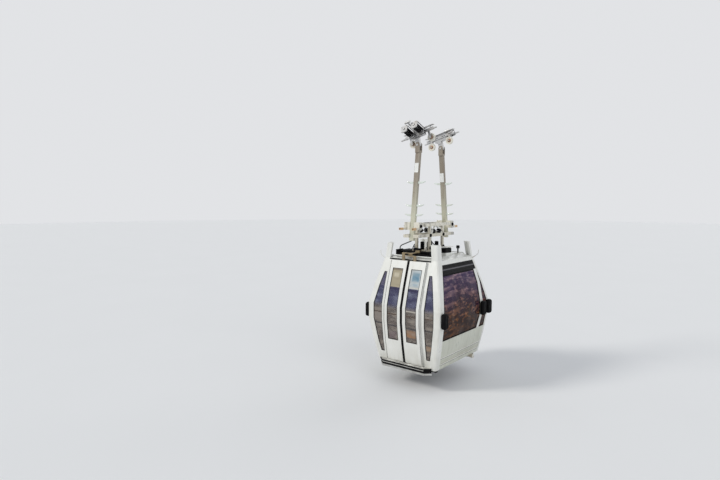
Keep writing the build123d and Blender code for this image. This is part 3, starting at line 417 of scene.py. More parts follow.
# %% [markdown]
# ## Rubber, plastic and metal
# Rubber is nearly black and hardly glossy, and chalks where it weathers. Hot-dip galvanising shows pale spangle,
# machined steel a fine grain along the part, and cast rollers a yellowed plastic.

# %% Rubber and plastic
def rubber(name, colour, worn, grain):
    """Matte rubber with chalky patches and a fine moulded grain."""
    recipe = Recipe(name)
    chalk = recipe.patches(0.45, 0.8, 7.0, 6.0)
    recipe.set(
        Base_Color=recipe.blend(chalk, colour, worn),
        Roughness=chalk * 0.2 + 0.62,
        Specular_IOR_Level=0.06,
        Normal=recipe.grain(grain, 3.0, 0.3, 0.0015),
    )


def moulded(name, colour, scuffed, roughness):
    """Textured plastic with scuffs."""
    recipe = Recipe(name)
    scuffs = recipe.patches(0.52, 0.8, 14.0, 8.0, (1, 0.25, 1))
    recipe.set(
        Base_Color=recipe.blend(scuffs * 0.5, colour, scuffed),
        Roughness=scuffs * 0.15 + roughness,
        Normal=recipe.grain(420.0, 2.0, 0.15, 0.0006),
    )


def ribbed(name, colour, worn, pitch):
    """Floor covering with raised ribs a pitch apart along X."""
    recipe = Recipe(name)
    wave = recipe.node("ShaderNodeMath", {"operation": "SINE"}, {0: recipe.axis("X") * (2 * pi / pitch)})
    recipe.set(
        Base_Color=recipe.blend(recipe.noise(5.0, 5.0), colour, worn),
        Roughness=0.7,
        Normal=recipe.bump(recipe.ramp(wave, -0.2, 0.5), 0.6, 0.003),
    )


rubber("black_rubber", (0.005, 0.005, 0.006), (0.016, 0.015, 0.014), 260.0)
ribbed("floor_rubber", (0.07, 0.07, 0.072), (0.15, 0.145, 0.135), 0.03)
moulded("bench_shell", (0.36, 0.135, 0.045), (0.46, 0.22, 0.11), 0.45)
moulded("blank_plate", (0.82, 0.82, 0.79), (0.60, 0.59, 0.55), 0.3)
moulded("white_roller", (0.74, 0.71, 0.62), (0.42, 0.36, 0.27), 0.4)
moulded("grey_slat", (0.075, 0.072, 0.080), (0.14, 0.13, 0.13), 0.6)
print("with rubber and plastic:", len(finishes))


# %% Metals
def metal(name, colour, stain, roughness, spangle, brushed, metallic):
    """Bare metal with stains, spangle or a brushed grain."""
    recipe = Recipe(name)
    stains = recipe.patches(0.45, 0.78, 8.0, 8.0, (1, 1, 0.35))
    cell_sockets = {"Vector": recipe.stretched(brushed), "Scale": 70.0}
    cells = recipe.node("ShaderNodeTexVoronoi", sockets=cell_sockets, out="Color")
    flake = recipe.node("ShaderNodeSeparateColor", sockets={0: cells})
    shade = recipe.blend(stains * 0.7, colour, stain)
    recipe.set(
        Base_Color=recipe.blend(flake * spangle, shade, dimmed(colour, 1.35)),
        Metallic=metallic,
        Roughness=stains * 0.25 + flake * (0.2 * spangle) + roughness,
        Normal=recipe.grain(90.0, 3.0, 0.15, 0.0008, brushed),
    )


metal("tread_metal", (0.56, 0.56, 0.54), (0.22, 0.21, 0.19), 0.38, 0.0, (0.1, 3, 3), 0.8)
metal("galvanised", (0.62, 0.61, 0.56), (0.42, 0.38, 0.30), 0.42, 0.5, (1, 1, 1), 0.55)
metal("steel", (0.50, 0.50, 0.50), (0.20, 0.17, 0.14), 0.32, 0.0, (1, 1, 1), 0.85)
print("with metals:", len(finishes))

# %% [markdown]
# ## Dressing the solids
# The record says which finish each solid has, so one loop gives every solid its material. A few get one of their
# own, such as the arms with their old, browned paint and the frame with its oil stains, which are laid on so
# heavily that they also paint in the shade on its sides.

# %% Give every solid its finish
own_finish = {
    "hanger_arms": "arm_paint",
    "damper": "dark_paint",
    "flank_windows": "flank_glass",
    "right_leaf_hanger": "hanger_paint",
    "left_leaf_hanger": "hanger_paint",
    "frame_braces": "white_paint",
    "lifting_lugs": "white_paint",
    "suspension_frame": "frame_paint",
}
for part in frame["record"]["subparts"]:
    solid = nodes[part["node"]]
    solid.data.materials.clear()
    solid.data.materials.append(finishes[own_finish.get(part["node"], part["material_slot"])])
print("dressed", len(nodes), "solids")

# %% [markdown]
# ## Modelling by hand
# Most fittings here start as a box or a disc and are then worked like clay on a bench: faces are picked by where
# they look, drawn in with an inset and pushed in or out, and edges are broken with a bevel. A few helpers keep
# every piece at the origin, with its place in its mesh, and hand it to the body that carries it.

# %% Picking faces and edges
def start():
    """Deselects everything, so that an operator acts on the new piece alone."""
    if bpy.context.object and bpy.context.object.mode != "OBJECT":
        bpy.ops.object.mode_set(mode="OBJECT")
    bpy.ops.object.select_all(action="DESELECT")


def take(piece):
    """Makes a piece the only one that operators act on."""
    start()
    bpy.context.view_layer.objects.active = piece
    piece.select_set(True)
    return piece


def pick(piece, test, kind="FACE"):
    """Opens a piece with only the faces or edges selected that pass a test on place and direction."""
    take(piece)
    bpy.ops.object.mode_set(mode="EDIT")
    bpy.ops.mesh.select_mode(type=kind)
    bpy.ops.mesh.select_all(action="DESELECT")
    mesh = bmesh.from_edit_mesh(piece.data)
    for item in mesh.faces if kind == "FACE" else mesh.edges:
        if kind == "FACE":
            item.select_set(bool(test(item.calc_center_median(), item.normal)))
        else:
            one, other = (corner.co for corner in item.verts)
            item.select_set(bool(test((one + other) / 2, (other - one).normalized())))
    bmesh.update_edit_mesh(piece.data)


def everything(middle, normal):
    """Test that all faces pass."""
    return True


def close(piece):
    """Leaves edit mode."""
    bpy.ops.object.mode_set(mode="OBJECT")
    return piece


print("picking tools ready")


# %% Working a piece
def added(name, add, scale=(1, 1, 1), **settings):
    """New primitive by itself, with its place, turn and size in its mesh."""
    start()
    add(**settings)
    piece = bpy.context.object
    piece.name, piece.scale = name, scale
    bpy.ops.object.transform_apply(location=True, rotation=True, scale=True)
    return piece


def moved(piece, place):
    """A piece whose mesh is moved by a matrix or by a vector."""
    piece.data.transform(place if isinstance(place, Matrix) else shift(place))
    return piece


def apply_all(piece):
    """Applies the modifiers of a piece in their order."""
    take(piece)
    for modifier in list(piece.modifiers):
        bpy.ops.object.modifier_apply(modifier=modifier.name)
    return piece


def soften(piece, width, segments=2):
    """Breaks the edges of a piece with a bevel."""
    edges = piece.modifiers.new("edges", "BEVEL")
    edges.width, edges.segments = width, segments
    return apply_all(piece)


def press(piece, test, inset, push):
    """Draws the picked faces in from their rims and pushes them."""
    pick(piece, test)
    bpy.ops.mesh.inset(thickness=inset)
    bpy.ops.transform.translate(value=push)
    return close(piece)


def face_outwards(piece):
    """Turns every face of a closed piece outwards."""
    pick(piece, everything)
    bpy.ops.mesh.normals_make_consistent(inside=False)
    return close(piece)


def smooth(piece, angle):
    """Shades a piece smooth, apart from edges sharper than an angle in degrees."""
    take(piece)
    bpy.ops.object.shade_smooth_by_angle(angle=radians(angle))
    return piece


print("working tools ready")


# %% Slabs and turned parts
def slab(name, low, high, bevel=0.002, segments=2):
    """Box between two corners with every edge broken."""
    low, high = Vector(low), Vector(high)
    sides = [abs(side) for side in high - low]
    piece = added(name, bpy.ops.mesh.primitive_cube_add, sides, size=1, location=(low + high) / 2)
    return soften(piece, min(bevel, min(sides) * 0.45), segments)


def turned(name, radius, depth, top=(), bottom=(), bore=False, sides=40):
    """Disc on the Z axis whose faces are drawn in or out and pushed step by step, as (inset, push)."""
    shape = {"vertices": sides, "radius": radius, "depth": depth, "end_fill_type": "NGON"}
    piece = added(name, bpy.ops.mesh.primitive_cylinder_add, **shape)
    for sense, steps in ((1, top), (-1, bottom)):
        if steps:
            pick(piece, lambda middle, normal: normal.z * sense > 0.9)
            wide = radius
            for inset, push in steps:
                bpy.ops.mesh.inset(thickness=max(inset, 0.0))
                if inset < 0:
                    bpy.ops.transform.resize(value=((wide - inset) / wide, (wide - inset) / wide, 1))
                bpy.ops.transform.translate(value=(0, 0, sense * push))
                wide -= inset
            close(piece)
    if bore:
        pick(piece, lambda middle, normal: abs(normal.z) > 0.9 and hypot(middle.x, middle.y) < 1e-4)
        bpy.ops.mesh.bridge_edge_loops()
        close(piece)
    return smooth(piece, 35)


def toward(place, axis, along=(1, 0, 0)):
    """Matrix that stands the Z axis of a mesh along an axis at a place, with its X near a direction."""
    z = Vector(axis).normalized()
    x = Vector(along) - z * Vector(along).dot(z)
    if x.length < 1e-3:
        x = z.orthogonal()
    x.normalize()
    return shift(Vector(place)) @ Matrix((x, z.cross(x), z)).transposed().to_4x4()


print("shaping tools ready")


# %% Copying and handing over
def joined(name, several):
    """One piece made of several."""
    start()
    for one in several:
        one.select_set(True)
    bpy.context.view_layer.objects.active = several[0]
    if len(several) > 1:
        bpy.ops.object.join()
    several[0].name = name
    return several[0]


def copy_of(model, place):
    """Copy of a model with its own mesh, at its own place."""
    one = bpy.data.objects.new(model.name, model.data.copy())
    scene.collection.objects.link(one)
    return moved(one, place)


def copies(model, places):
    """Copies of a model at several places; the model is used up."""
    made = [copy_of(model, place) for place in places]
    bpy.data.objects.remove(model)
    return made


def hand_over(name, pieces, body, slot, stands_for=(), finish=None):
    """Makes one named piece of a list and gives it its finish and the body that carries it."""
    piece = joined(name, pieces)
    piece.data.materials.clear()
    piece.data.materials.append(finishes[finish or slot])
    for face in piece.data.polygons:
        face.material_index = 0
    piece.data.update()
    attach(piece, body)
    if stands_for:
        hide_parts(*stands_for)
    print(piece.name, "on", body, "faces", len(piece.data.polygons))
    return piece


print("copying tools ready")

# %% [markdown]
# ## Where the walls are
# Many fittings lie on the bowed walls. The rows of the body's outline give how far each face stands from the middle
# at a height, as in the solids, so that a strip or a screw can follow the bow.

# %% Rows of the outline
END, DOOR, REAR = range(1, 4)
rows = (
    (0.0, 0.670, 0.830, 0.940),
    (0.435, 0.767, 0.912, 0.992),
    (0.870, 0.840, 0.970, 1.020),
    (1.165, 0.840, 0.970, 1.020),
    (1.527, 0.766, 0.876, 0.906),
    (2.070, 0.625, 0.705, 0.705),
    (2.370, 0.588, 0.677, 0.670),
)
post_flange, rear_post_flange = 0.140, 0.100


def reach(face, height):
    """Distance of a face from the middle of the cabin at a height."""
    for low, high in zip(rows, rows[1:]):
        if height <= high[0]:
            part = (height - low[0]) / (high[0] - low[0])
            return low[face] + (high[face] - low[face]) * part
    return rows[-1][face]


def lean_of(face, height):
    """Angle by which a face leans out at a height."""
    step = 0.02
    return atan2(reach(face, height + step) - reach(face, height - step), 2 * step)


def end_span(height, gap):
    """Where an end's wall starts and stops along Y between its posts, less a gap at both."""
    return gap - (reach(DOOR, height) - post_flange), reach(REAR, height) - rear_post_flange - gap


print("waist half length", reach(END, 1.0))

# %% [markdown]
# ## Grips: coil springs
# Each grip is held shut by two packs of nested coil springs, set between an inner and an outer seat and tilted
# upwards. A coil is a small ring swept along a screw: the Screw modifier repeats one turn, and each pack gets a
# stout outer coil, a thinner inner one wound the other way, and a guide rod with a nut outside.

# %% Where the springs stand
rope_half_gauge = 0.44
slope = radians(15.0)
spring_tilt = radians(26.0)
spring_length = 0.205
spring_across, spring_above = -0.095, 0.050
up_rope = Vector((cos(slope), 0, sin(slope)))
off_rope = Vector((-sin(slope), 0, cos(slope)))


def on_grip(side, along, across, above):
    """Point of a grip: along the rope, inwards from it and square to it."""
    return up_rope * along + off_rope * above + Vector((0, side * (rope_half_gauge - across), 0))


def spring_axis(side):
    """Direction of a spring pack, outwards and up."""
    return Vector((0, side * cos(spring_tilt), 0)) + off_rope * sin(spring_tilt)


def spring_lift(side):
    """Direction across a spring pack, towards its upper edge."""
    return Vector((0, -side * sin(spring_tilt), 0)) + off_rope * cos(spring_tilt)


packs = [(side, on_grip(side, along, spring_across, spring_above)) for side in BOTH for along in (-0.115, 0.115)]
stands = [toward(foot, spring_axis(side), up_rope) for side, foot in packs]
print("spring packs:", len(stands))


# %% Coil springs
def coil(radius, wire, turns, hand):
    """Coil spring on the Z axis, one ring of wire swept by the Screw modifier."""
    ring = {"vertices": 8, "radius": wire, "location": (radius, 0, wire), "rotation": (pi / 2, 0, 0)}
    piece = added("coil", bpy.ops.mesh.primitive_circle_add, **ring)
    sweep = piece.modifiers.new("sweep", "SCREW")
    sweep.axis = "Z"
    sweep.angle = hand * 2 * pi
    sweep.screw_offset = (spring_length - 2 * wire) / turns
    sweep.iterations = turns
    sweep.steps = sweep.render_steps = 20
    sweep.use_merge_vertices = True
    sweep.merge_threshold = 0.0002
    apply_all(piece)
    pick(piece, lambda middle, along: False, "EDGE")
    bpy.ops.mesh.select_non_manifold()
    bpy.ops.mesh.edge_face_add()
    bpy.ops.mesh.select_all(action="SELECT")
    bpy.ops.mesh.remove_doubles(threshold=0.00005)
    bpy.ops.mesh.normals_make_consistent(inside=False)
    return smooth(close(piece), 50)


hand_over("outer_coils", copies(coil(0.055, 0.0100, 6, 1), stands), "grips", "dark_paint", ["grip_springs"])
hand_over("inner_coils", copies(coil(0.035, 0.0068, 8, -1), stands), "grips", "steel")

# %% Guide rods with their nuts
rod_end = [(0.003, 0.002)]
rod = moved(turned("rod", 0.013, 0.250, rod_end, rod_end, sides=20), (0, 0, spring_length / 2 + 0.012))
nut = moved(turned("nut", 0.024, 0.015, [(0.004, 0.003), (0.004, 0)], sides=6), (0, 0, spring_length + 0.0235))
hand_over("guide_rods", copies(joined("guide", [rod, nut]), stands), "grips", "steel")

# %% [markdown]
# ## Rope rollers
# In the station each grip runs on two rollers. They are cast wheels with a pale tyre and a brown hub held by a ring
# of screws. A disc is worked with insets for rim, dish and boss, and its middle is bridged for the axle. One roller
# is modelled and copied to the four places.

# %% Bronze of the hubs
bronze = Recipe("hub_bronze")
tarnish = bronze.patches(0.4, 0.7, 40.0, 6.0)
bronze.set(
    Base_Color=bronze.blend(tarnish, (0.36, 0.19, 0.10), (0.17, 0.09, 0.055)),
    Roughness=tarnish * 0.2 + 0.4,
    Metallic=0.4,
    Normal=bronze.grain(300.0, 2.0, 0.2, 0.0005),
)
print("hub finish:", bronze.material.name)

# %% Tyred rollers
roller_below, roller_along, roller_across = -0.098, 0.215, 0.092
screw_circle, hub_face = 0.027, 0.0165
roller_nodes, roller_places = [], []
for rope, side in (("front", -1), ("rear", 1)):
    for end, sense in (("lower", -1), ("upper", 1)):
        roller_nodes.append(f"{rope}_{end}_roller")
        spot = on_grip(side, sense * roller_along, roller_across, roller_below)
        roller_places.append(toward(spot, (0, -side, 0)))
rim = [(0.003, 0.0), (0.016, -0.001), (0.003, -0.010), (0.020, 0)]
dish = [(0.004, 0.0), (0.012, 0.004), (0.004, 0.003), (0.0033, 0)]
tyre = turned("tyre", 0.0775, 0.0395, rim, rim, bore=True, sides=48)
hub = turned("hub", 0.0385, 0.0255, dish, dish, bore=True, sides=36)
ring = []
for i in range(6):
    for sense in (1, -1):
        spot = (screw_circle * cos(pi / 3 * i), screw_circle * sin(pi / 3 * i), sense * hub_face)
        ring.append(toward(spot, (0, 0, sense)))
screws = joined("screws", copies(turned("screw", 0.0038, 0.004, [(0.001, 0.001)], sides=6), ring))
wheel = [tyre, hub, screws]
for node, place in zip(roller_nodes, roller_places):
    tyre, hub, screws = [copy_of(model, place) for model in wheel]
    hand_over(node + "_tyre", [tyre], node, "white_roller", [node])
    hand_over(node + "_hub", [hub], node, "steel", finish="hub_bronze")
    hand_over(node + "_screws", [screws], node, "steel")
for model in wheel:
    bpy.data.objects.remove(model)

# %% [markdown]
# ## Bench cushions
# Three cushions lie side by side on each bench, with three more behind them as backs. A cushion is a cover that
# its filling blows up: it crowns in the middle and its sides pull in between the corners. So a box is worked into
# a low crowned pad, remeshed evenly and swollen by a short cloth simulation with air pressure inside. What lies on
# the bench stays flat, two sewn channels are pressed in afterwards, and one subdivision smooths the cover.

# %% Seat cloth
cloth = Recipe("seat_cloth")
twill = cloth.node("ShaderNodeTexWave", {"bands_direction": "DIAGONAL"}, {0: cloth.place(), "Scale": 260.0})
faded = cloth.patches(0.4, 0.75, 5.0, 5.0)
cloth.set(
    Base_Color=cloth.blend(faded * 0.6, (0.42, 0.15, 0.05), (0.50, 0.24, 0.12)),
    Roughness=0.85,
    Sheen_Weight=0.25,
    Normal=cloth.bump(twill, 0.25, 0.0008),
)
print("cloth:", cloth.material.name)


# %% Swelling a pad
def blow_up(piece, most):
    """Remeshes a pad evenly and swells it as cloth with air inside; no point moves further than a limit."""
    even = piece.modifiers.new("even", "REMESH")
    even.mode = "VOXEL"
    even.voxel_size = 0.012
    apply_all(piece)
    before = [point.co.copy() for point in piece.data.vertices]
    last_frame = 20
    cover = piece.modifiers.new("cover", "CLOTH")
    cover.settings.use_pressure = True
    cover.settings.uniform_pressure_force = 4.0
    cover.settings.effector_weights.gravity = 0.0
    cover.point_cache.frame_start, cover.point_cache.frame_end = 1, last_frame
    for number in range(1, last_frame + 1):
        scene.frame_set(number)
    apply_all(piece)
    scene.frame_set(1)
    far = 0.0
    for point, place in zip(piece.data.vertices, before):
        move = point.co - place
        far = max(far, move.length)
        if move.length > most:
            point.co = place + move.normalized() * most
    print(piece.name, "swelled by", round(far * 1000), "mm before the limit")


def cushion(name, width, length, thickness, crown):
    """Crowned pad on the XY plane, its top bulging up and its sides drawn in between the corners."""
    swelling = 0.009
    piece = added(name, bpy.ops.mesh.primitive_cube_add, size=1, location=(0, 0, 0.5))
    pick(piece, everything)
    bpy.ops.mesh.subdivide(number_cuts=9)
    close(piece)
    for point in piece.data.vertices:
        x, y, z = point.co.x * 2, point.co.y * 2, point.co.z
        swell = (1 - x**4) * (1 - y**4)
        belly = 4 * z * (1 - z)
        point.co.x = width / 2 * x * (0.965 + 0.035 * belly) * (1 - 0.018 * (1 - y * y))
        point.co.y = length / 2 * y * (0.975 + 0.025 * belly) * (1 - 0.012 * (1 - x * x))
        point.co.z = z * (thickness - 0.011 - crown + crown * swell)
    blow_up(piece, swelling)
    for point in piece.data.vertices:
        point.co.x = max(-width / 2, min(width / 2, point.co.x))
        point.co.y = max(-length / 2, min(length / 2, point.co.y))
        channel = max(0.0, 1 - abs(abs(point.co.y) * 2 / length - 0.42) / 0.07)
        point.co.z = max(0.0, min(thickness, point.co.z)) * (1 - 0.14 * channel)
    smoother = piece.modifiers.new("rounding", "SUBSURF")
    smoother.levels = smoother.render_levels = 1
    apply_all(piece)
    bpy.ops.object.shade_smooth()
    return piece


print("padding tools ready")

# %% Padded cushions
seat_top, back_foot, back_head = 0.400, 0.455, 0.925
seat_line = reach(END, seat_top) - 0.042
bench_front, bench_rear, cushion_gap = -0.560, 0.870, 0.004
pitch = (bench_rear - bench_front) / 3
seat_places, back_places = [], []
for side in (1, -1):
    for i in range(3):
        y = bench_front + pitch * (i + 0.5)
        seat_places.append((side * (seat_line - 0.215), y, level(seat_top)))
        foot, head = (Vector((side * (reach(END, h) - 0.043), y, level(h))) for h in (back_foot, back_head))
        run = (head - foot).normalized()
        back_places.append(toward((foot + head) / 2, Vector((0, 1, 0)).cross(run) * -side, run))
seats = copies(cushion("seat", 0.428, pitch - cushion_gap, 0.050, 0.024), seat_places)
backs = copies(cushion("back", 0.455, pitch - cushion_gap, 0.047, 0.022), back_places)
for end, three in (("right", slice(0, 3)), ("left", slice(3, 6))):
    pads = seats[three] + backs[three]
    pads = hand_over("cushions_" + end, pads, "cabin", "bench_shell", ["bench_pads"], finish="seat_cloth")

# %% [markdown]
# ## Louvres
# Between header and window each end has a dark ventilation strip. Five slats lie across it, each bevelled and
# tipped outwards at its foot so that rain runs off; the middle one is of greyer plastic.

# %% Slats of the vent strips
vent_foot, vent_head = 1.805, 1.990
slat_count, slat_lean, slat_half, slat_half_width = 5, radians(24), 0.0035, 0.014
slats, middle_slats = [], []
for side in BOTH:
    lean = Matrix.Rotation(-side * slat_lean, 4, "Y")
    for i in range(slat_count):
        height = vent_foot + (vent_head - vent_foot) * (i + 0.5) / slat_count
        near, far = end_span(height, 0.008)
        slat = slab("slat", (-slat_half, near, -slat_half_width), (slat_half, far, slat_half_width), 0.002)
        moved(slat, shift((side * (reach(END, height) - 0.007), 0, level(height))) @ lean)
        (middle_slats if i == slat_count // 2 else slats).append(slat)
hand_over("vent_slats", slats, "cabin", "dark_paint")
hand_over("middle_slats", middle_slats, "cabin", "dark_paint", finish="grey_slat")

# %% [markdown]
# ## Rubber on the bowed faces
# Each pane sits in a dark seal that follows the bow of the wall, and each leaf has a dark strip down its outer edge.
# A narrow sheet is drawn up row by row by extruding its top edge, the seal is what an inset leaves at its rim, and
# a Solidify modifier gives it its thickness.

# %% Strips that follow the bow
def bowed_sheet(name, left, right, low, high, stand_off, face=DOOR):
    """Sheet in front of a wall between two edges and two heights, drawn up row by row."""
    heights = [low] + [row[0] for row in rows if low < row[0] < high] + [high]
    out = -1 if face == DOOR else 1

    def spot(x, height):
        return Vector((x, out * (reach(face, height) + stand_off), level(height)))

    piece = added(name, bpy.ops.mesh.primitive_plane_add, size=1)
    corners = [(edge(height), height) for height in heights[:2] for edge in (left, right)]
    for point, (x, height) in zip(piece.data.vertices, corners):
        point.co = spot(x, height)
    for height in heights[2:]:
        top = max(point.co.z for point in piece.data.vertices)
        pick(piece, lambda middle, along: abs(middle.z - top) < 1e-5 and abs(along.z) < 0.1, "EDGE")
        bpy.ops.mesh.extrude_region_move()
        mesh = bmesh.from_edit_mesh(piece.data)
        drawn = sorted([point for point in mesh.verts if point.select], key=lambda point: point.co.x)
        for point, x in zip(drawn, (left(height), right(height))):
            point.co = spot(x, height)
        bmesh.update_edit_mesh(piece.data)
        close(piece)
    return piece


def thick(piece, thickness):
    """Gives a sheet its thickness, half to each side, and breaks its edges."""
    wall = piece.modifiers.new("wall", "SOLIDIFY")
    wall.thickness = thickness
    wall.offset = 0
    return face_outwards(soften(piece, thickness * 0.3))


def rim_of(piece, width):
    """Keeps only a rim of a sheet."""
    pick(piece, everything)
    bpy.ops.mesh.inset(thickness=width, use_boundary=True)
    bpy.ops.mesh.delete(type="FACE")
    return close(piece)


print("strip tools ready")

# %% Seals, edge strips and bars of the leaves
bar_half_height, bar_half_depth = 0.020, 0.006
for end, sense in (("right", 1), ("left", -1)):
    door = end + "_door"
    near, far = sorted((sense * 0.0955, sense * 0.3395))
    seal = bowed_sheet("seal", lambda h: near, lambda h: far, 0.4905, 1.8895, 0.0345)
    hand_over(end + "_pane_seal", [thick(rim_of(seal, 0.009), 0.012)], door, "black_rubber")
    near, far = sorted((sense * 0.404, sense * 0.4105))
    strip = bowed_sheet("strip", lambda h: near, lambda h: far, 0.062, 2.038, 0.0395)
    hand_over(end + "_edge_strip", [thick(strip, 0.006)], door, "black_rubber")
    bars = []
    near, far = sorted((sense * 0.090, sense * 0.345))
    for height in (0.79, 1.05):
        y = -(reach(DOOR, height) + 0.0155)
        low = (near, y - bar_half_depth, level(height - bar_half_height))
        high = (far, y + bar_half_depth, level(height + bar_half_height))
        bars.append(slab("bar", low, high, 0.005, 3))
    hand_over(end + "_leaf_bars", bars, door, "dark_paint")

# %% Seals of the fixed panes
def flank_edge(height):
    """Outer edge of a flank window, at the corner post."""
    return reach(END, height) - post_flange - 0.001


flank_edges = {"right": (lambda h: 0.491, flank_edge), "left": (lambda h: -flank_edge(h), lambda h: -0.491)}
for end, edges in flank_edges.items():
    seal = bowed_sheet("seal", *edges, 0.191, 1.797, -0.0065)
    hand_over(end + "_flank_seal", [thick(rim_of(seal, 0.010), 0.011)], "cabin", "black_rubber")
seal = bowed_sheet("seal", lambda h: -0.399, lambda h: 0.399, 0.901, 1.899, -0.0065, REAR)
hand_over("rear_pane_seal", [thick(rim_of(seal, 0.012), 0.011)], "cabin", "black_rubber")

# %% [markdown]
# ## Door tread
# The tread has a bulging rubber nosing along its front, turned down over the edge, and raised ribs on top for grip.

# %% Nosing and ribs
tread_top, tread_depth, tread_reach = 0.045, 0.022, 0.120
front = -reach(DOOR, tread_top) - tread_reach
nose_low = (-0.489, front - 0.010, level(tread_top - tread_depth - 0.006))
nose_high = (0.489, front + 0.016, level(tread_top + 0.004))
hand_over("tread_nosing", [slab("nosing", nose_low, nose_high, 0.010, 5)], "cabin", "black_rubber")
rib = slab("rib", (-0.47, -0.003, -0.001), (0.47, 0.003, 0.003), 0.001)
rib_lines = [(0, front + 0.028 + 0.014 * i, level(tread_top)) for i in range(6)]
hand_over("tread_ribs", copies(rib, rib_lines), "cabin", "tread_metal")

# %% [markdown]
# ## Skirt and door head
# Two pressed beads run along the foot of each end and of the rear wall; at the ends a thin dark strip below each
# stands for the shadow under it. A black strip along the gap between the leaves and the roof edge is painted shadow,
# and round white covers close the lifting lugs.

# %% Beads, painted shadow strips and lug covers
beads, bead_shadows = [], []
bead_shadow_drop = 0.015
for height in (0.100, 0.232):
    for side in BOTH:
        near, far = end_span(height, 0.004)
        lean = Matrix.Rotation(side * lean_of(END, height), 4, "Y")
        bead = slab("bead", (-0.008, near, -0.011), (0.005, far, 0.011), 0.004, 3)
        beads.append(moved(bead, shift((side * reach(END, height), 0, level(height))) @ lean))
        # A thin dark strip just below each bead is painted shadow under the bead.
        joint = slab("joint", (-0.006, near, -0.004), (0.0015, far, 0.004), 0.001)
        below = height - bead_shadow_drop
        bead_shadows.append(moved(joint, shift((side * reach(END, below), 0, level(below))) @ lean))
    half = reach(END, height) - 0.130
    lean = Matrix.Rotation(-lean_of(REAR, height), 4, "X")
    bead = slab("bead", (-half, -0.005, -0.011), (half, 0.008, 0.011), 0.004, 3)
    beads.append(moved(bead, shift((0, reach(REAR, height), level(height))) @ lean))
hand_over("skirt_beads", beads, "cabin", "white_paint")
# A black strip along the door head is painted shadow in the gap between the leaves and the roof edge.
head_shadow_strip = slab("head_shadow_strip", (-0.480, -0.7200, level(2.0440)), (0.480, -0.7070, level(2.0680)), 0.002)
hand_over("painted_shadow_strips", bead_shadows + [head_shadow_strip], "cabin", "black_rubber")
cover_face = [(0.006, 0.004), (0.012, 0), (0.004, -0.004), (0.010, 0.006)]
cover_places = [toward((side * 0.684, 0.610, level(-0.038)), (side, 0, 0)) for side in BOTH]
covers = copies(turned("cover", 0.047, 0.064, cover_face, sides=32), cover_places)
hand_over("lug_covers", covers, "cabin", "white_paint")

# %% [markdown]
# ## Bolts
# One hexagon bolt with its washer is modelled once and copied to every joint of frame, arms and grips. Each copy
# has a few dozen faces.

# %% Hexagon bolts of frame and arms
def bolt_model(size):
    """Hexagon head on a washer, standing on the XY plane; its size is that of the head across corners."""
    head = turned("head", size / 2, size * 0.36, [(size * 0.05, size * 0.04)], sides=6)
    washer = turned("washer", size * 0.68, size * 0.12, [(size * 0.05, size * 0.02)], sides=16)
    return joined("bolt", [moved(head, (0, 0, size * 0.28)), moved(washer, (0, 0, size * 0.05))])


frame_half_length, frame_half_width, leg = 0.150, 0.250, 0.050
plate_top = 2.217
arm_foot, arm_head = 2.430, 4.170
arm_foot_reach = 0.650


def arm_reach(height):
    """Distance across from the middle to the axis of a hanger arm."""
    return arm_foot_reach + (rope_half_gauge - arm_foot_reach) * (height - arm_foot) / (arm_head - arm_foot)


frame_bolts = []
for end, side in quarters:
    for height in (2.505, 2.535, 2.656, 2.774):
        for aside in (-0.034, 0.034):
            spot = (end * (frame_half_length + leg / 2), side * arm_reach(height) + aside, level(height))
            frame_bolts.append(toward(spot, (end, 0, 0)))
    for along in (-0.052, 0.052):
        for aside in (-0.052, 0.052):
            spot = (end * frame_half_length + along, side * frame_half_width + aside, level(plate_top))
            frame_bolts.append(toward(spot, (0, 0, 1)))
hand_over("frame_bolts", copies(bolt_model(0.022), frame_bolts), "cabin", "steel")

# %% Bolts of the grips
grip_bolts = []
for side, foot in packs:
    face = foot + spring_axis(side) * (spring_length + 0.016)
    for across in (-0.052, 0.052):
        for lift in (-0.052, 0.052):
            spot = face + up_rope * across + spring_lift(side) * lift
            grip_bolts.append(toward(spot, spring_axis(side), up_rope))
for side in BOTH:
    for along in (-0.30, -0.18, 0.18, 0.30):
        grip_bolts.append(toward(on_grip(side, along, 0.040, 0.118), off_rope, up_rope))
hand_over("grip_bolts", copies(bolt_model(0.017), grip_bolts), "grips", "steel")

# %% [markdown]
# ## Bumpers
# A black rubber buffer stands at the waist of every post of the ends, round like a cushion of solid rubber. A box has
# its four standing edges rounded first and then its rim, which is what a mould for such a buffer looks like, and an
# inset face is pushed in a little so that a shallow hollow stays in its front.

# %% Rubber buffers
buffer_size = (0.095, 0.150, 0.290)
waist_reach, buffer_height = 0.840, 0.9975


def buffer(side, y):
    """Rounded rubber block on the outer face of a post."""
    centre = (side * (waist_reach + buffer_size[0] / 2), y, level(buffer_height))
    piece = added("buffer", bpy.ops.mesh.primitive_cube_add, buffer_size, size=1, location=centre)
    pick(piece, lambda middle, along: abs(along.x) > 0.9, "EDGE")
    bpy.ops.mesh.bevel(offset=0.052, segments=7, affect="EDGES")
    close(piece)
    rim = piece.modifiers.new("rim", "BEVEL")
    rim.width = 0.034
    rim.segments = 6
    rim.limit_method = "ANGLE"
    rim.angle_limit = radians(60)
    apply_all(piece)
    return smooth(press(piece, lambda middle, normal: normal.x * side > 0.999, 0.006, (-side * 0.003, 0, 0)), 40)


buffers = [buffer(side, y) for side in BOTH for y in (-0.883, 0.6925, 0.945)]
hand_over("waist_buffers", buffers, "cabin", "black_rubber", ["bumpers"])

# %% [markdown]
# ## Rungs of the arms
# The rungs on which a fitter climbs the arms are stout bows, thick at the arm and thin at their upturned tips. Half
# a bow is a box whose outer end is extruded twice, each time smaller and higher, and the other half points the
# other way.

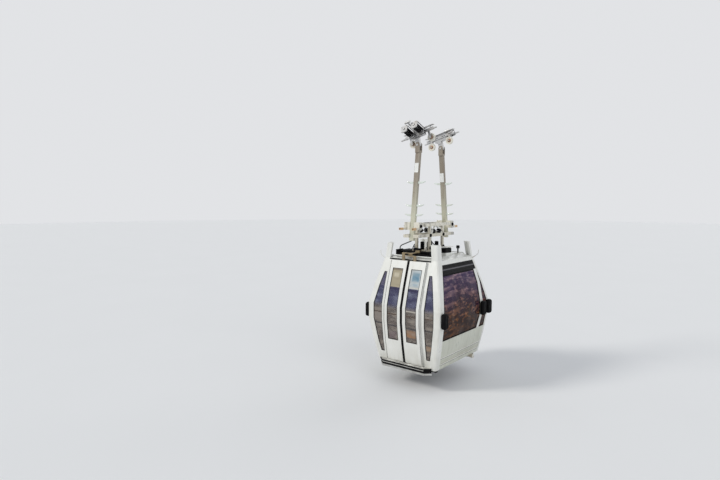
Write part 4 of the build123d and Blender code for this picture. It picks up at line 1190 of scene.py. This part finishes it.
# %% Rung bows
def half_bow(side):
    """Half of a rung on one side of an arm, whose root lies at the middle of the arm."""
    root = {"size": 1, "location": (side * 0.069, 0, 0.006)}
    piece = added("half_bow", bpy.ops.mesh.primitive_cube_add, (0.042, 0.032, 0.044), **root)
    pick(piece, lambda middle, normal: normal.x * side > 0.9)
    for run, lift, thin in ((0.060, 0.004, 0.78), (0.064, 0.018, 0.40)):
        bpy.ops.mesh.extrude_region_move(TRANSFORM_OT_translate={"value": (side * run, 0, lift)})
        bpy.ops.transform.resize(value=(1, 0.9, thin))
    return face_outwards(soften(close(piece), 0.005))


rung_heights = [arm_foot + rise + 0.011 for rise in (0.480, 0.665, 1.115)]
bow_places = [(0, side * arm_reach(height), level(height)) for height in rung_heights for side in BOTH]
bows = copies(half_bow(-1), bow_places) + copies(half_bow(1), bow_places)
hand_over("rung_bows", bows, "cabin", "white_paint", ["arm_rungs"], finish="rung_paint")

# %% [markdown]
# ## Plates of the arms
# Each arm carries blank white plates, one on its outer side, which is a solid, and one on its inner side. A thin
# slab is drawn in by an inset and pushed down a little, so that a raised rim stays, and four rivets hold it.

# %% Blank plates with rims and rivets
def blank_plate(side, out, foot, head):
    """Plate on one side of an arm, leaning with it."""
    half, half_width, half_depth = (head - foot) / 2, 0.044, 0.003
    off_axis = out * 0.0335
    low, high = (Vector((0, side * (arm_reach(h) + off_axis), level(h))) for h in (foot, head))
    run = (high - low).normalized()
    away = Vector((1, 0, 0)).cross(run)
    if away.y * side * out < 0:
        away = -away
    plate = slab("plate", (-half, -half_width, -half_depth), (half, half_width, half_depth), 0.0015)
    press(plate, lambda middle, normal: normal.z > 0.9 and abs(middle.z - half_depth) < 1e-4, 0.006, (0, 0, -0.0015))
    spots = [(x, y, half_depth) for x in (-0.085, 0.085) for y in (-0.033, 0.033)]
    rivets = copies(turned("rivet", 0.004, 0.003, [(0.0015, 0.001)], sides=12), spots)
    return moved(joined("plate", [plate] + rivets), toward((low + high) / 2, away, run))


outer_plates = [blank_plate(side, 1, 3.762, 3.948) for side in BOTH]
hand_over("outer_plates", outer_plates, "cabin", "blank_plate", ["label_plates"])
inner_plates = [blank_plate(side, -1, 3.600, 3.786) for side in BOTH]
hand_over("inner_plates", inner_plates, "cabin", "blank_plate")

# %% [markdown]
# ## Tubes
# Rods, conduits and rails are bent from one round section of steel. A small ring is extruded along the run, and at
# each bend it is spun about the bend's centre, as a bending machine does, so the section stays round through the
# corner.

# %% Bent tubes
def bent_tube(route, radius, bend, steps=5):
    """Tube through points given by place and height, straight between them and bent at each."""
    points = [Vector((x, y, level(height))) for x, y, height in route]
    runs = [(far - near).normalized() for near, far in zip(points, points[1:])]
    piece = added("tube", bpy.ops.mesh.primitive_circle_add, vertices=10, radius=radius, fill_type="NGON")
    pick(moved(piece, toward(points[0], runs[0], (0, 0, 1))), everything)
    here = points[0]
    for i, run in enumerate(runs):
        last = i == len(runs) - 1
        cut = 0.0
        if not last:
            angle = run.angle(runs[i + 1])
            room = min((points[i + 1] - here).length, (points[i + 2] - points[i + 1]).length / 2)
            cut = min(bend * sin(angle / 2) / max(cos(angle / 2), 1e-3), room * 0.9)
        end = points[i + 1] - run * cut
        bpy.ops.mesh.extrude_region_move(TRANSFORM_OT_translate={"value": end - here})
        here = end
        if not last and angle > 1e-3:
            axis = run.cross(runs[i + 1]).normalized()
            turn_radius = cut * cos(angle / 2) / max(sin(angle / 2), 1e-3)
            centre = here + axis.cross(run) * turn_radius
            around = shift(centre) @ Matrix.Rotation(angle / steps, 4, axis) @ shift(-centre)
            for step in range(steps):
                bpy.ops.mesh.extrude_region_move()
                mesh = bmesh.from_edit_mesh(piece.data)
                for point in mesh.verts:
                    if point.select:
                        point.co = around @ point.co
                bmesh.update_edit_mesh(piece.data)
            here = points[i + 1] + runs[i + 1] * cut
    return smooth(face_outwards(close(piece)), 45)


rods = []
for side, face, flange in ((-1, DOOR, post_flange), (1, REAR, rear_post_flange)):
    x = side * (reach(END, 2.010) - 0.010)
    y = side * (reach(face, 2.010) - flange / 2)
    knee = x + side * 0.130
    rods.append(bent_tube([(x, y, 2.031), (knee, y, 2.120), (knee, y, 2.205)], 0.0085, 0.07))
hand_over("corner_rods", rods, "cabin", "white_paint", ["roof_rods"])

# %% [markdown]
# ## Door tread, lower half
# Below the tread a black rubber apron hangs down to the light rail, and the nosing turns back at both corners.

# %% Apron and corner pieces
def slanted(side, run, height, back, aside, half_depth, low, high, bevel, segments):
    """Bar that runs back from a corner of the tread."""
    run = Vector((side * run[0], run[1], 0))
    half = run.length / 2
    bar = slab("bar", (-half, -half_depth, low), (half, half_depth, high), bevel, segments)
    return moved(bar, toward((side * aside, front + back, level(height)), (0, 0, 1), run))


apron_y = front + 0.014
apron = [slab("apron", (-0.488, apron_y, level(-0.048)), (0.488, apron_y + 0.012, level(0.024)), 0.003)]
nose_middle = tread_top - tread_depth / 2
ends = []
for side in BOTH:
    apron.append(slanted(side, (0.110, 0.100), nose_middle, 0.050, 0.545, 0.009, -0.017, 0.015, 0.007, 4))
    apron.append(slanted(side, (0.110, 0.100), nose_middle - 0.046, 0.062, 0.535, 0.005, -0.036, 0.036, 0.003, 2))
    ends.append(slanted(side, (0.105, 0.095), -0.067, 0.073, 0.540, 0.008, -0.019, 0.019, 0.004, 3))
hand_over("tread_apron", apron, "cabin", "black_rubber")
ends.append(slab("edge", (-0.486, front - 0.004, level(0.0445)), (0.486, front + 0.022, level(0.0515)), 0.003))
ends.append(slab("trim", (-0.486, front - 0.009, level(0.002)), (0.486, front + 0.026, level(0.013)), 0.003))
hand_over("rail_ends", ends, "cabin", "tread_metal")

# %% [markdown]
# ## Suspension frame
# Round rubber mounts sit where arms, brackets and legs meet, and rubber rings on the buffers below. Ribbed stops and
# drums stand between the legs, the square stubs end in worn orange caps, and a gaiter covers the foot of the damper.

# %% Rubber mounts and stub caps
spots = [(0.1835, arm_reach(2.715), 2.715), (0.1800, frame_half_width, 2.520), (0.1800, frame_half_width, 2.270)]
mounts = []
for end, side in quarters:
    mounts += [toward((end * x, side * y, level(height)), (end, 0, 0)) for x, y, height in spots]
mount = turned("mount", 0.034, 0.016, [(0.004, 0.003), (0.010, 0), (0.003, -0.006)], [(0.002, 0)], sides=28)
hand_over("frame_mounts", copies(mount, mounts), "cabin", "black_rubber", ["frame_bushes"])
caps = []
stub_tip, stub_half, cap_length = arm_reach(2.685) + 0.230, 0.023, 0.095
for end, side in quarters:
    near, far = sorted((side * (stub_tip - cap_length), side * (stub_tip + 0.004)))
    x = end * frame_half_length
    cap = slab("cap", (x - stub_half, near, level(2.642)), (x + stub_half, far, level(2.688)), 0.005, 3)
    caps.append(press(cap, lambda middle, normal: normal.y * side > 0.95, 0.006, (0, -side * 0.004, 0)))
hand_over("stub_caps", caps, "cabin", "cream_paint", finish="stub_paint")

# %% Damper gaiter and buffer rings
folds = [(0.002, 0)] + [(-0.007, 0.008), (0.007, 0.008)] * 7
gaiter = moved(turned("gaiter", 0.038, 0.020, folds, sides=28), (0, 0, level(2.530)))
collar = turned("collar", 0.043, 0.030, [(0.004, 0.003), (0.006, 0)], [(0.004, 0.003)], sides=28)
collars = copies(collar, [(0, 0, level(height)) for height in (2.245, 2.490)])
hand_over("damper_gaiter", [gaiter] + collars, "cabin", "black_rubber")
ring_places = []
for end, side in quarters:
    for height in (2.132, 2.172):
        ring_places.append((end * frame_half_length, side * frame_half_width, level(height)))
ring = turned("ring", 0.050, 0.014, [(0.005, 0.004)], [(0.005, 0.004)], sides=32)
hand_over("buffer_rings", copies(ring, ring_places), "cabin", "black_rubber")

# %% Rubber stops and cross axles in the frame
stop_ribs = [(-0.007, 0.004), (0, 0.012), (0.007, 0.004), (0, 0.008)] * 5
stop = turned("stop", 0.036, 0.016, stop_ribs + [(0.010, 0.006)], sides=28)
stop_places = [(end * 0.075, side * 0.155, level(plate_top + 0.008)) for end, side in quarters]
hand_over("frame_stops", copies(stop, stop_places), "cabin", "black_rubber")
axle_height = 2.600
axle_length = 2 * (frame_half_width - leg / 2 + 0.004)
axle = turned("axle", 0.012, axle_length, [(0.002, 0)], [(0.002, 0)], sides=20)
axle_places = [toward((end * frame_half_length, 0, level(axle_height)), (0, 1, 0)) for end in BOTH]
hand_over("frame_axles", copies(axle, axle_places), "cabin", "steel")
drum_steps = [(0.004, 0.004), (0.012, 0), (0.003, -0.006)]
drum = turned("drum", 0.044, 0.050, drum_steps, drum_steps, sides=28)
drum_spots = [(end * frame_half_length, side * 0.105, level(axle_height)) for end, side in quarters]
hand_over("axle_drums", copies(drum, [toward(spot, (0, 1, 0)) for spot in drum_spots]), "cabin", "black_rubber")

# %% [markdown]
# ## Machinery on the roof
# The door drive stands in the open on the front half of the roof, with its motor and control box. Behind the frame
# lie a white junction box, a dark cabinet under a tilted white hood, and a small black lamp on a mast. Boxes get an
# inset lid, the motor gets its fins by repeated insets, and steel conduits run down from the frame to the drive.

# %% Motor and boxes
roof_top = 2.109
fins = [(0.007, 0), (0, 0.005), (-0.007, 0), (0, 0.005)] * 7
motor = turned("motor", 0.036, 0.040, [(0.001, 0)] + fins + [(0.008, 0.004)], [(0.006, 0.004)], sides=28)
moved(motor, toward((-0.030, -0.430, level(2.233)), (1, 0, 0)))
gearbox = slab("gearbox", (-0.085, -0.466, level(2.194)), (-0.040, -0.394, level(2.272)), 0.008, 3)
hand_over("drive_motor", [motor, gearbox], "cabin", "dark_paint")


def box_with_lid(low, high, lid_height):
    """Box on the roof whose lid stands a little proud, with a bolt at each corner."""
    proud, edge, top = 0.004, 0.018, level(lid_height)
    body = slab("box", (*low, level(roof_top)), (*high, top), 0.006, 3)
    press(body, lambda middle, normal: normal.z > 0.95 and middle.z > top - 1e-4, 0.008, (0, 0, proud))
    spots = [(x, y, top + proud) for x in (low[0] + edge, high[0] - edge) for y in (low[1] + edge, high[1] - edge)]
    return [body] + copies(bolt_model(0.010), spots)


control = box_with_lid((-0.420, -0.370), (-0.245, -0.130), 2.215)
relay = box_with_lid((0.250, -0.360), (0.400, -0.220), 2.180)
hand_over("control_boxes", control + relay, "cabin", "dark_paint")
lamp_foot = slab("lamp_foot", (0.375, 0.395, level(roof_top)), (0.455, 0.485, level(2.132)), 0.005)
junction = box_with_lid((0.255, -0.080), (0.430, 0.170), 2.165)
hand_over("junction_box", junction + [lamp_foot], "cabin", "white_paint")

# %% Hooded cabinet and lamp
hood = slab("hood", (-0.115, -0.150, -0.008), (0.115, 0.150, 0.008), 0.005, 3)
press(hood, lambda middle, normal: normal.z > 0.95, 0.018, (0, 0, 0.005))
moved(hood, shift((0.335, 0.045, level(2.272))) @ Matrix.Rotation(radians(-7), 4, "Y"))
hand_over("weather_hood", [hood], "cabin", "white_paint")
cabinet = slab("cabinet", (0.262, -0.070, level(2.160)), (0.418, 0.160, level(2.262)), 0.008, 3)
pick(cabinet, lambda middle, normal: normal.x > 0.95 or normal.y < -0.95)
bpy.ops.mesh.inset(thickness=0.012, use_individual=True)
bpy.ops.mesh.inset(thickness=0.002, depth=-0.003, use_individual=True)
hand_over("roof_cabinet", [close(cabinet)], "cabin", "dark_paint")
lamp = turned("lamp", 0.036, 0.050, [(0.006, 0.006), (0.010, 0.004)], [(0.020, 0), (0.003, 0.098)], sides=28)
hand_over("roof_lamp", [moved(lamp, (0.415, 0.440, level(2.254)))], "cabin", "dark_paint")

# %% Rails and conduits on the roof
rails = []
rail_foot = 2.078
for y, height in ((-0.640, 2.125), (0.560, 2.135)):
    route = [(-0.520, y, rail_foot), (-0.470, y, height), (0.470, y, height), (0.520, y, rail_foot)]
    rails.append(bent_tube(route, 0.010, 0.03))
hand_over("roof_rails", rails, "cabin", "white_paint")
routes = [
    [(-0.455, -0.400, 2.100), (-0.455, -0.400, 2.290), (-0.250, -0.300, 2.390), (-0.150, -0.225, 2.480)],
    [(-0.330, -0.130, 2.200), (-0.330, -0.080, 2.300), (-0.190, -0.130, 2.350), (-0.150, -0.225, 2.430)],
    [(0.330, -0.215, 2.170), (0.330, -0.150, 2.260), (0.220, -0.120, 2.300), (0.165, -0.215, 2.400)],
]
hand_over("roof_conduits", [bent_tube(route, 0.010, 0.07, steps=7) for route in routes], "cabin", "dark_paint")

# %% [markdown]
# ## Lining
# Above the seats the rear wall is covered inside by a beige lining down to the top of the panes. It shows through
# the clear panes of the doors. A sheet is drawn up behind the wall and thickened, a rounded sill closes it below,
# and a ledge of the same lining lies along the wall above the seat backs.

# %% Lining of the rear wall
def inside(height):
    """Half width of the lining at a height."""
    return reach(END, height) - 0.150


paint("lining", (0.60, 0.54, 0.43), (0.42, 0.36, 0.28), 0.5, 0.0, gloss=0.3)
lining = thick(bowed_sheet("lining", lambda h: -inside(h), inside, 1.46, 2.030, -0.048, REAR), 0.010)
sill_y = reach(REAR, 1.46) - 0.052
sill = slab("sill", (-0.62, sill_y - 0.018, level(1.440)), (0.62, sill_y + 0.006, level(1.475)), 0.008, 4)
hand_over("rear_lining", [lining, sill], "cabin", "cream_paint", finish="lining")
ledge_y = reach(REAR, 0.890) - 0.044
ledge = slab("ledge", (-0.64, ledge_y - 0.045, level(0.880)), (0.64, ledge_y, level(0.912)), 0.010, 4)
hand_over("rear_ledge", [ledge], "cabin", "cream_paint", finish="lining")

# %% [markdown]
# ## The studio
# The cabin hangs over a plain pale floor. A soft distant lamp from the front left gives the doors their light,
# weaker ones fill the end and the back, and the world is an even pale sky. Distant lamps light the floor evenly, so
# it meets the background without a line. Seen from below, the floor lets the view through.

# %% Floor
floor_gap = 0.35
disc = {"vertices": 64, "radius": 90, "fill_type": "NGON", "location": (0, 0, cad_low.z - floor_gap)}
floor = added("floor", bpy.ops.mesh.primitive_circle_add, **disc)
ground = Recipe("floor")
ground.set(Base_Color=ground.blend(ground.noise(0.4, 2.0), (0.83, 0.83, 0.83), (0.85, 0.85, 0.85)), Roughness=0.95)
behind = ground.node("ShaderNodeNewGeometry", out="Backfacing")
clear = ground.node("ShaderNodeBsdfTransparent")
top = Wire(ground, ground.shader.outputs[0])
mixed = ground.node("ShaderNodeMixShader", sockets={0: behind, 1: top, 2: clear})
ground.feed(ground.tree.nodes["Material Output"].inputs["Surface"], mixed)
floor.data.materials.append(ground.material)
floor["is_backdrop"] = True
print("floor at", round(cad_low.z - floor_gap, 2))

# %% World
world = bpy.data.worlds.new("studio")
scene.world = world
world.use_nodes = True
sky = world.node_tree.nodes
wires = world.node_tree.links
lighting = sky["Background"]
lighting.inputs["Color"].default_value = opaque((0.84, 0.89, 0.96))
lighting.inputs["Strength"].default_value = 0.52
seen = sky.new("ShaderNodeBackground")
seen.inputs["Color"].default_value = opaque((0.76, 0.77, 0.79))
seen.inputs["Strength"].default_value = 1.0
rays = sky.new("ShaderNodeLightPath")
choice = sky.new("ShaderNodeMixShader")
flag = rays.outputs["Is Camera Ray"]
for other in ("Is Glossy Ray", "Is Transmission Ray"):
    either = sky.new("ShaderNodeMath")
    either.operation = "MAXIMUM"
    wires.new(flag, either.inputs[0])
    wires.new(rays.outputs[other], either.inputs[1])
    flag = either.outputs[0]
for number, source in enumerate((flag, lighting.outputs[0], seen.outputs[0])):
    wires.new(source, choice.inputs[number])
wires.new(choice.outputs[0], sky["World Output"].inputs["Surface"])
print("world lights at", lighting.inputs["Strength"].default_value)


# %% Lamps
def sun(name, from_place, power, softness, colour=(1, 1, 1)):
    """Distant soft lamp, which lights floor and cabin evenly."""
    data = bpy.data.lights.new(name, "SUN")
    data.energy = power
    data.angle = radians(softness)
    data.color = colour
    lit = bpy.data.objects.new(name, data)
    scene.collection.objects.link(lit)
    lit.rotation_euler = Vector(from_place).to_track_quat("Z", "Y").to_euler()


sun("key", (-0.55, -0.75, 0.62), 1.35, 14, (1.0, 0.98, 0.93))
sun("fill", (0.9, -0.35, 0.45), 0.62, 50)
sun("back", (0.1, 0.9, 0.5), 0.45, 50)

# %% Print the sizes and finish
low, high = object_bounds()
print("CAD box", [round(value, 3) for value in cad_high - cad_low])
print("visual box", [round(value, 3) for value in high - low])
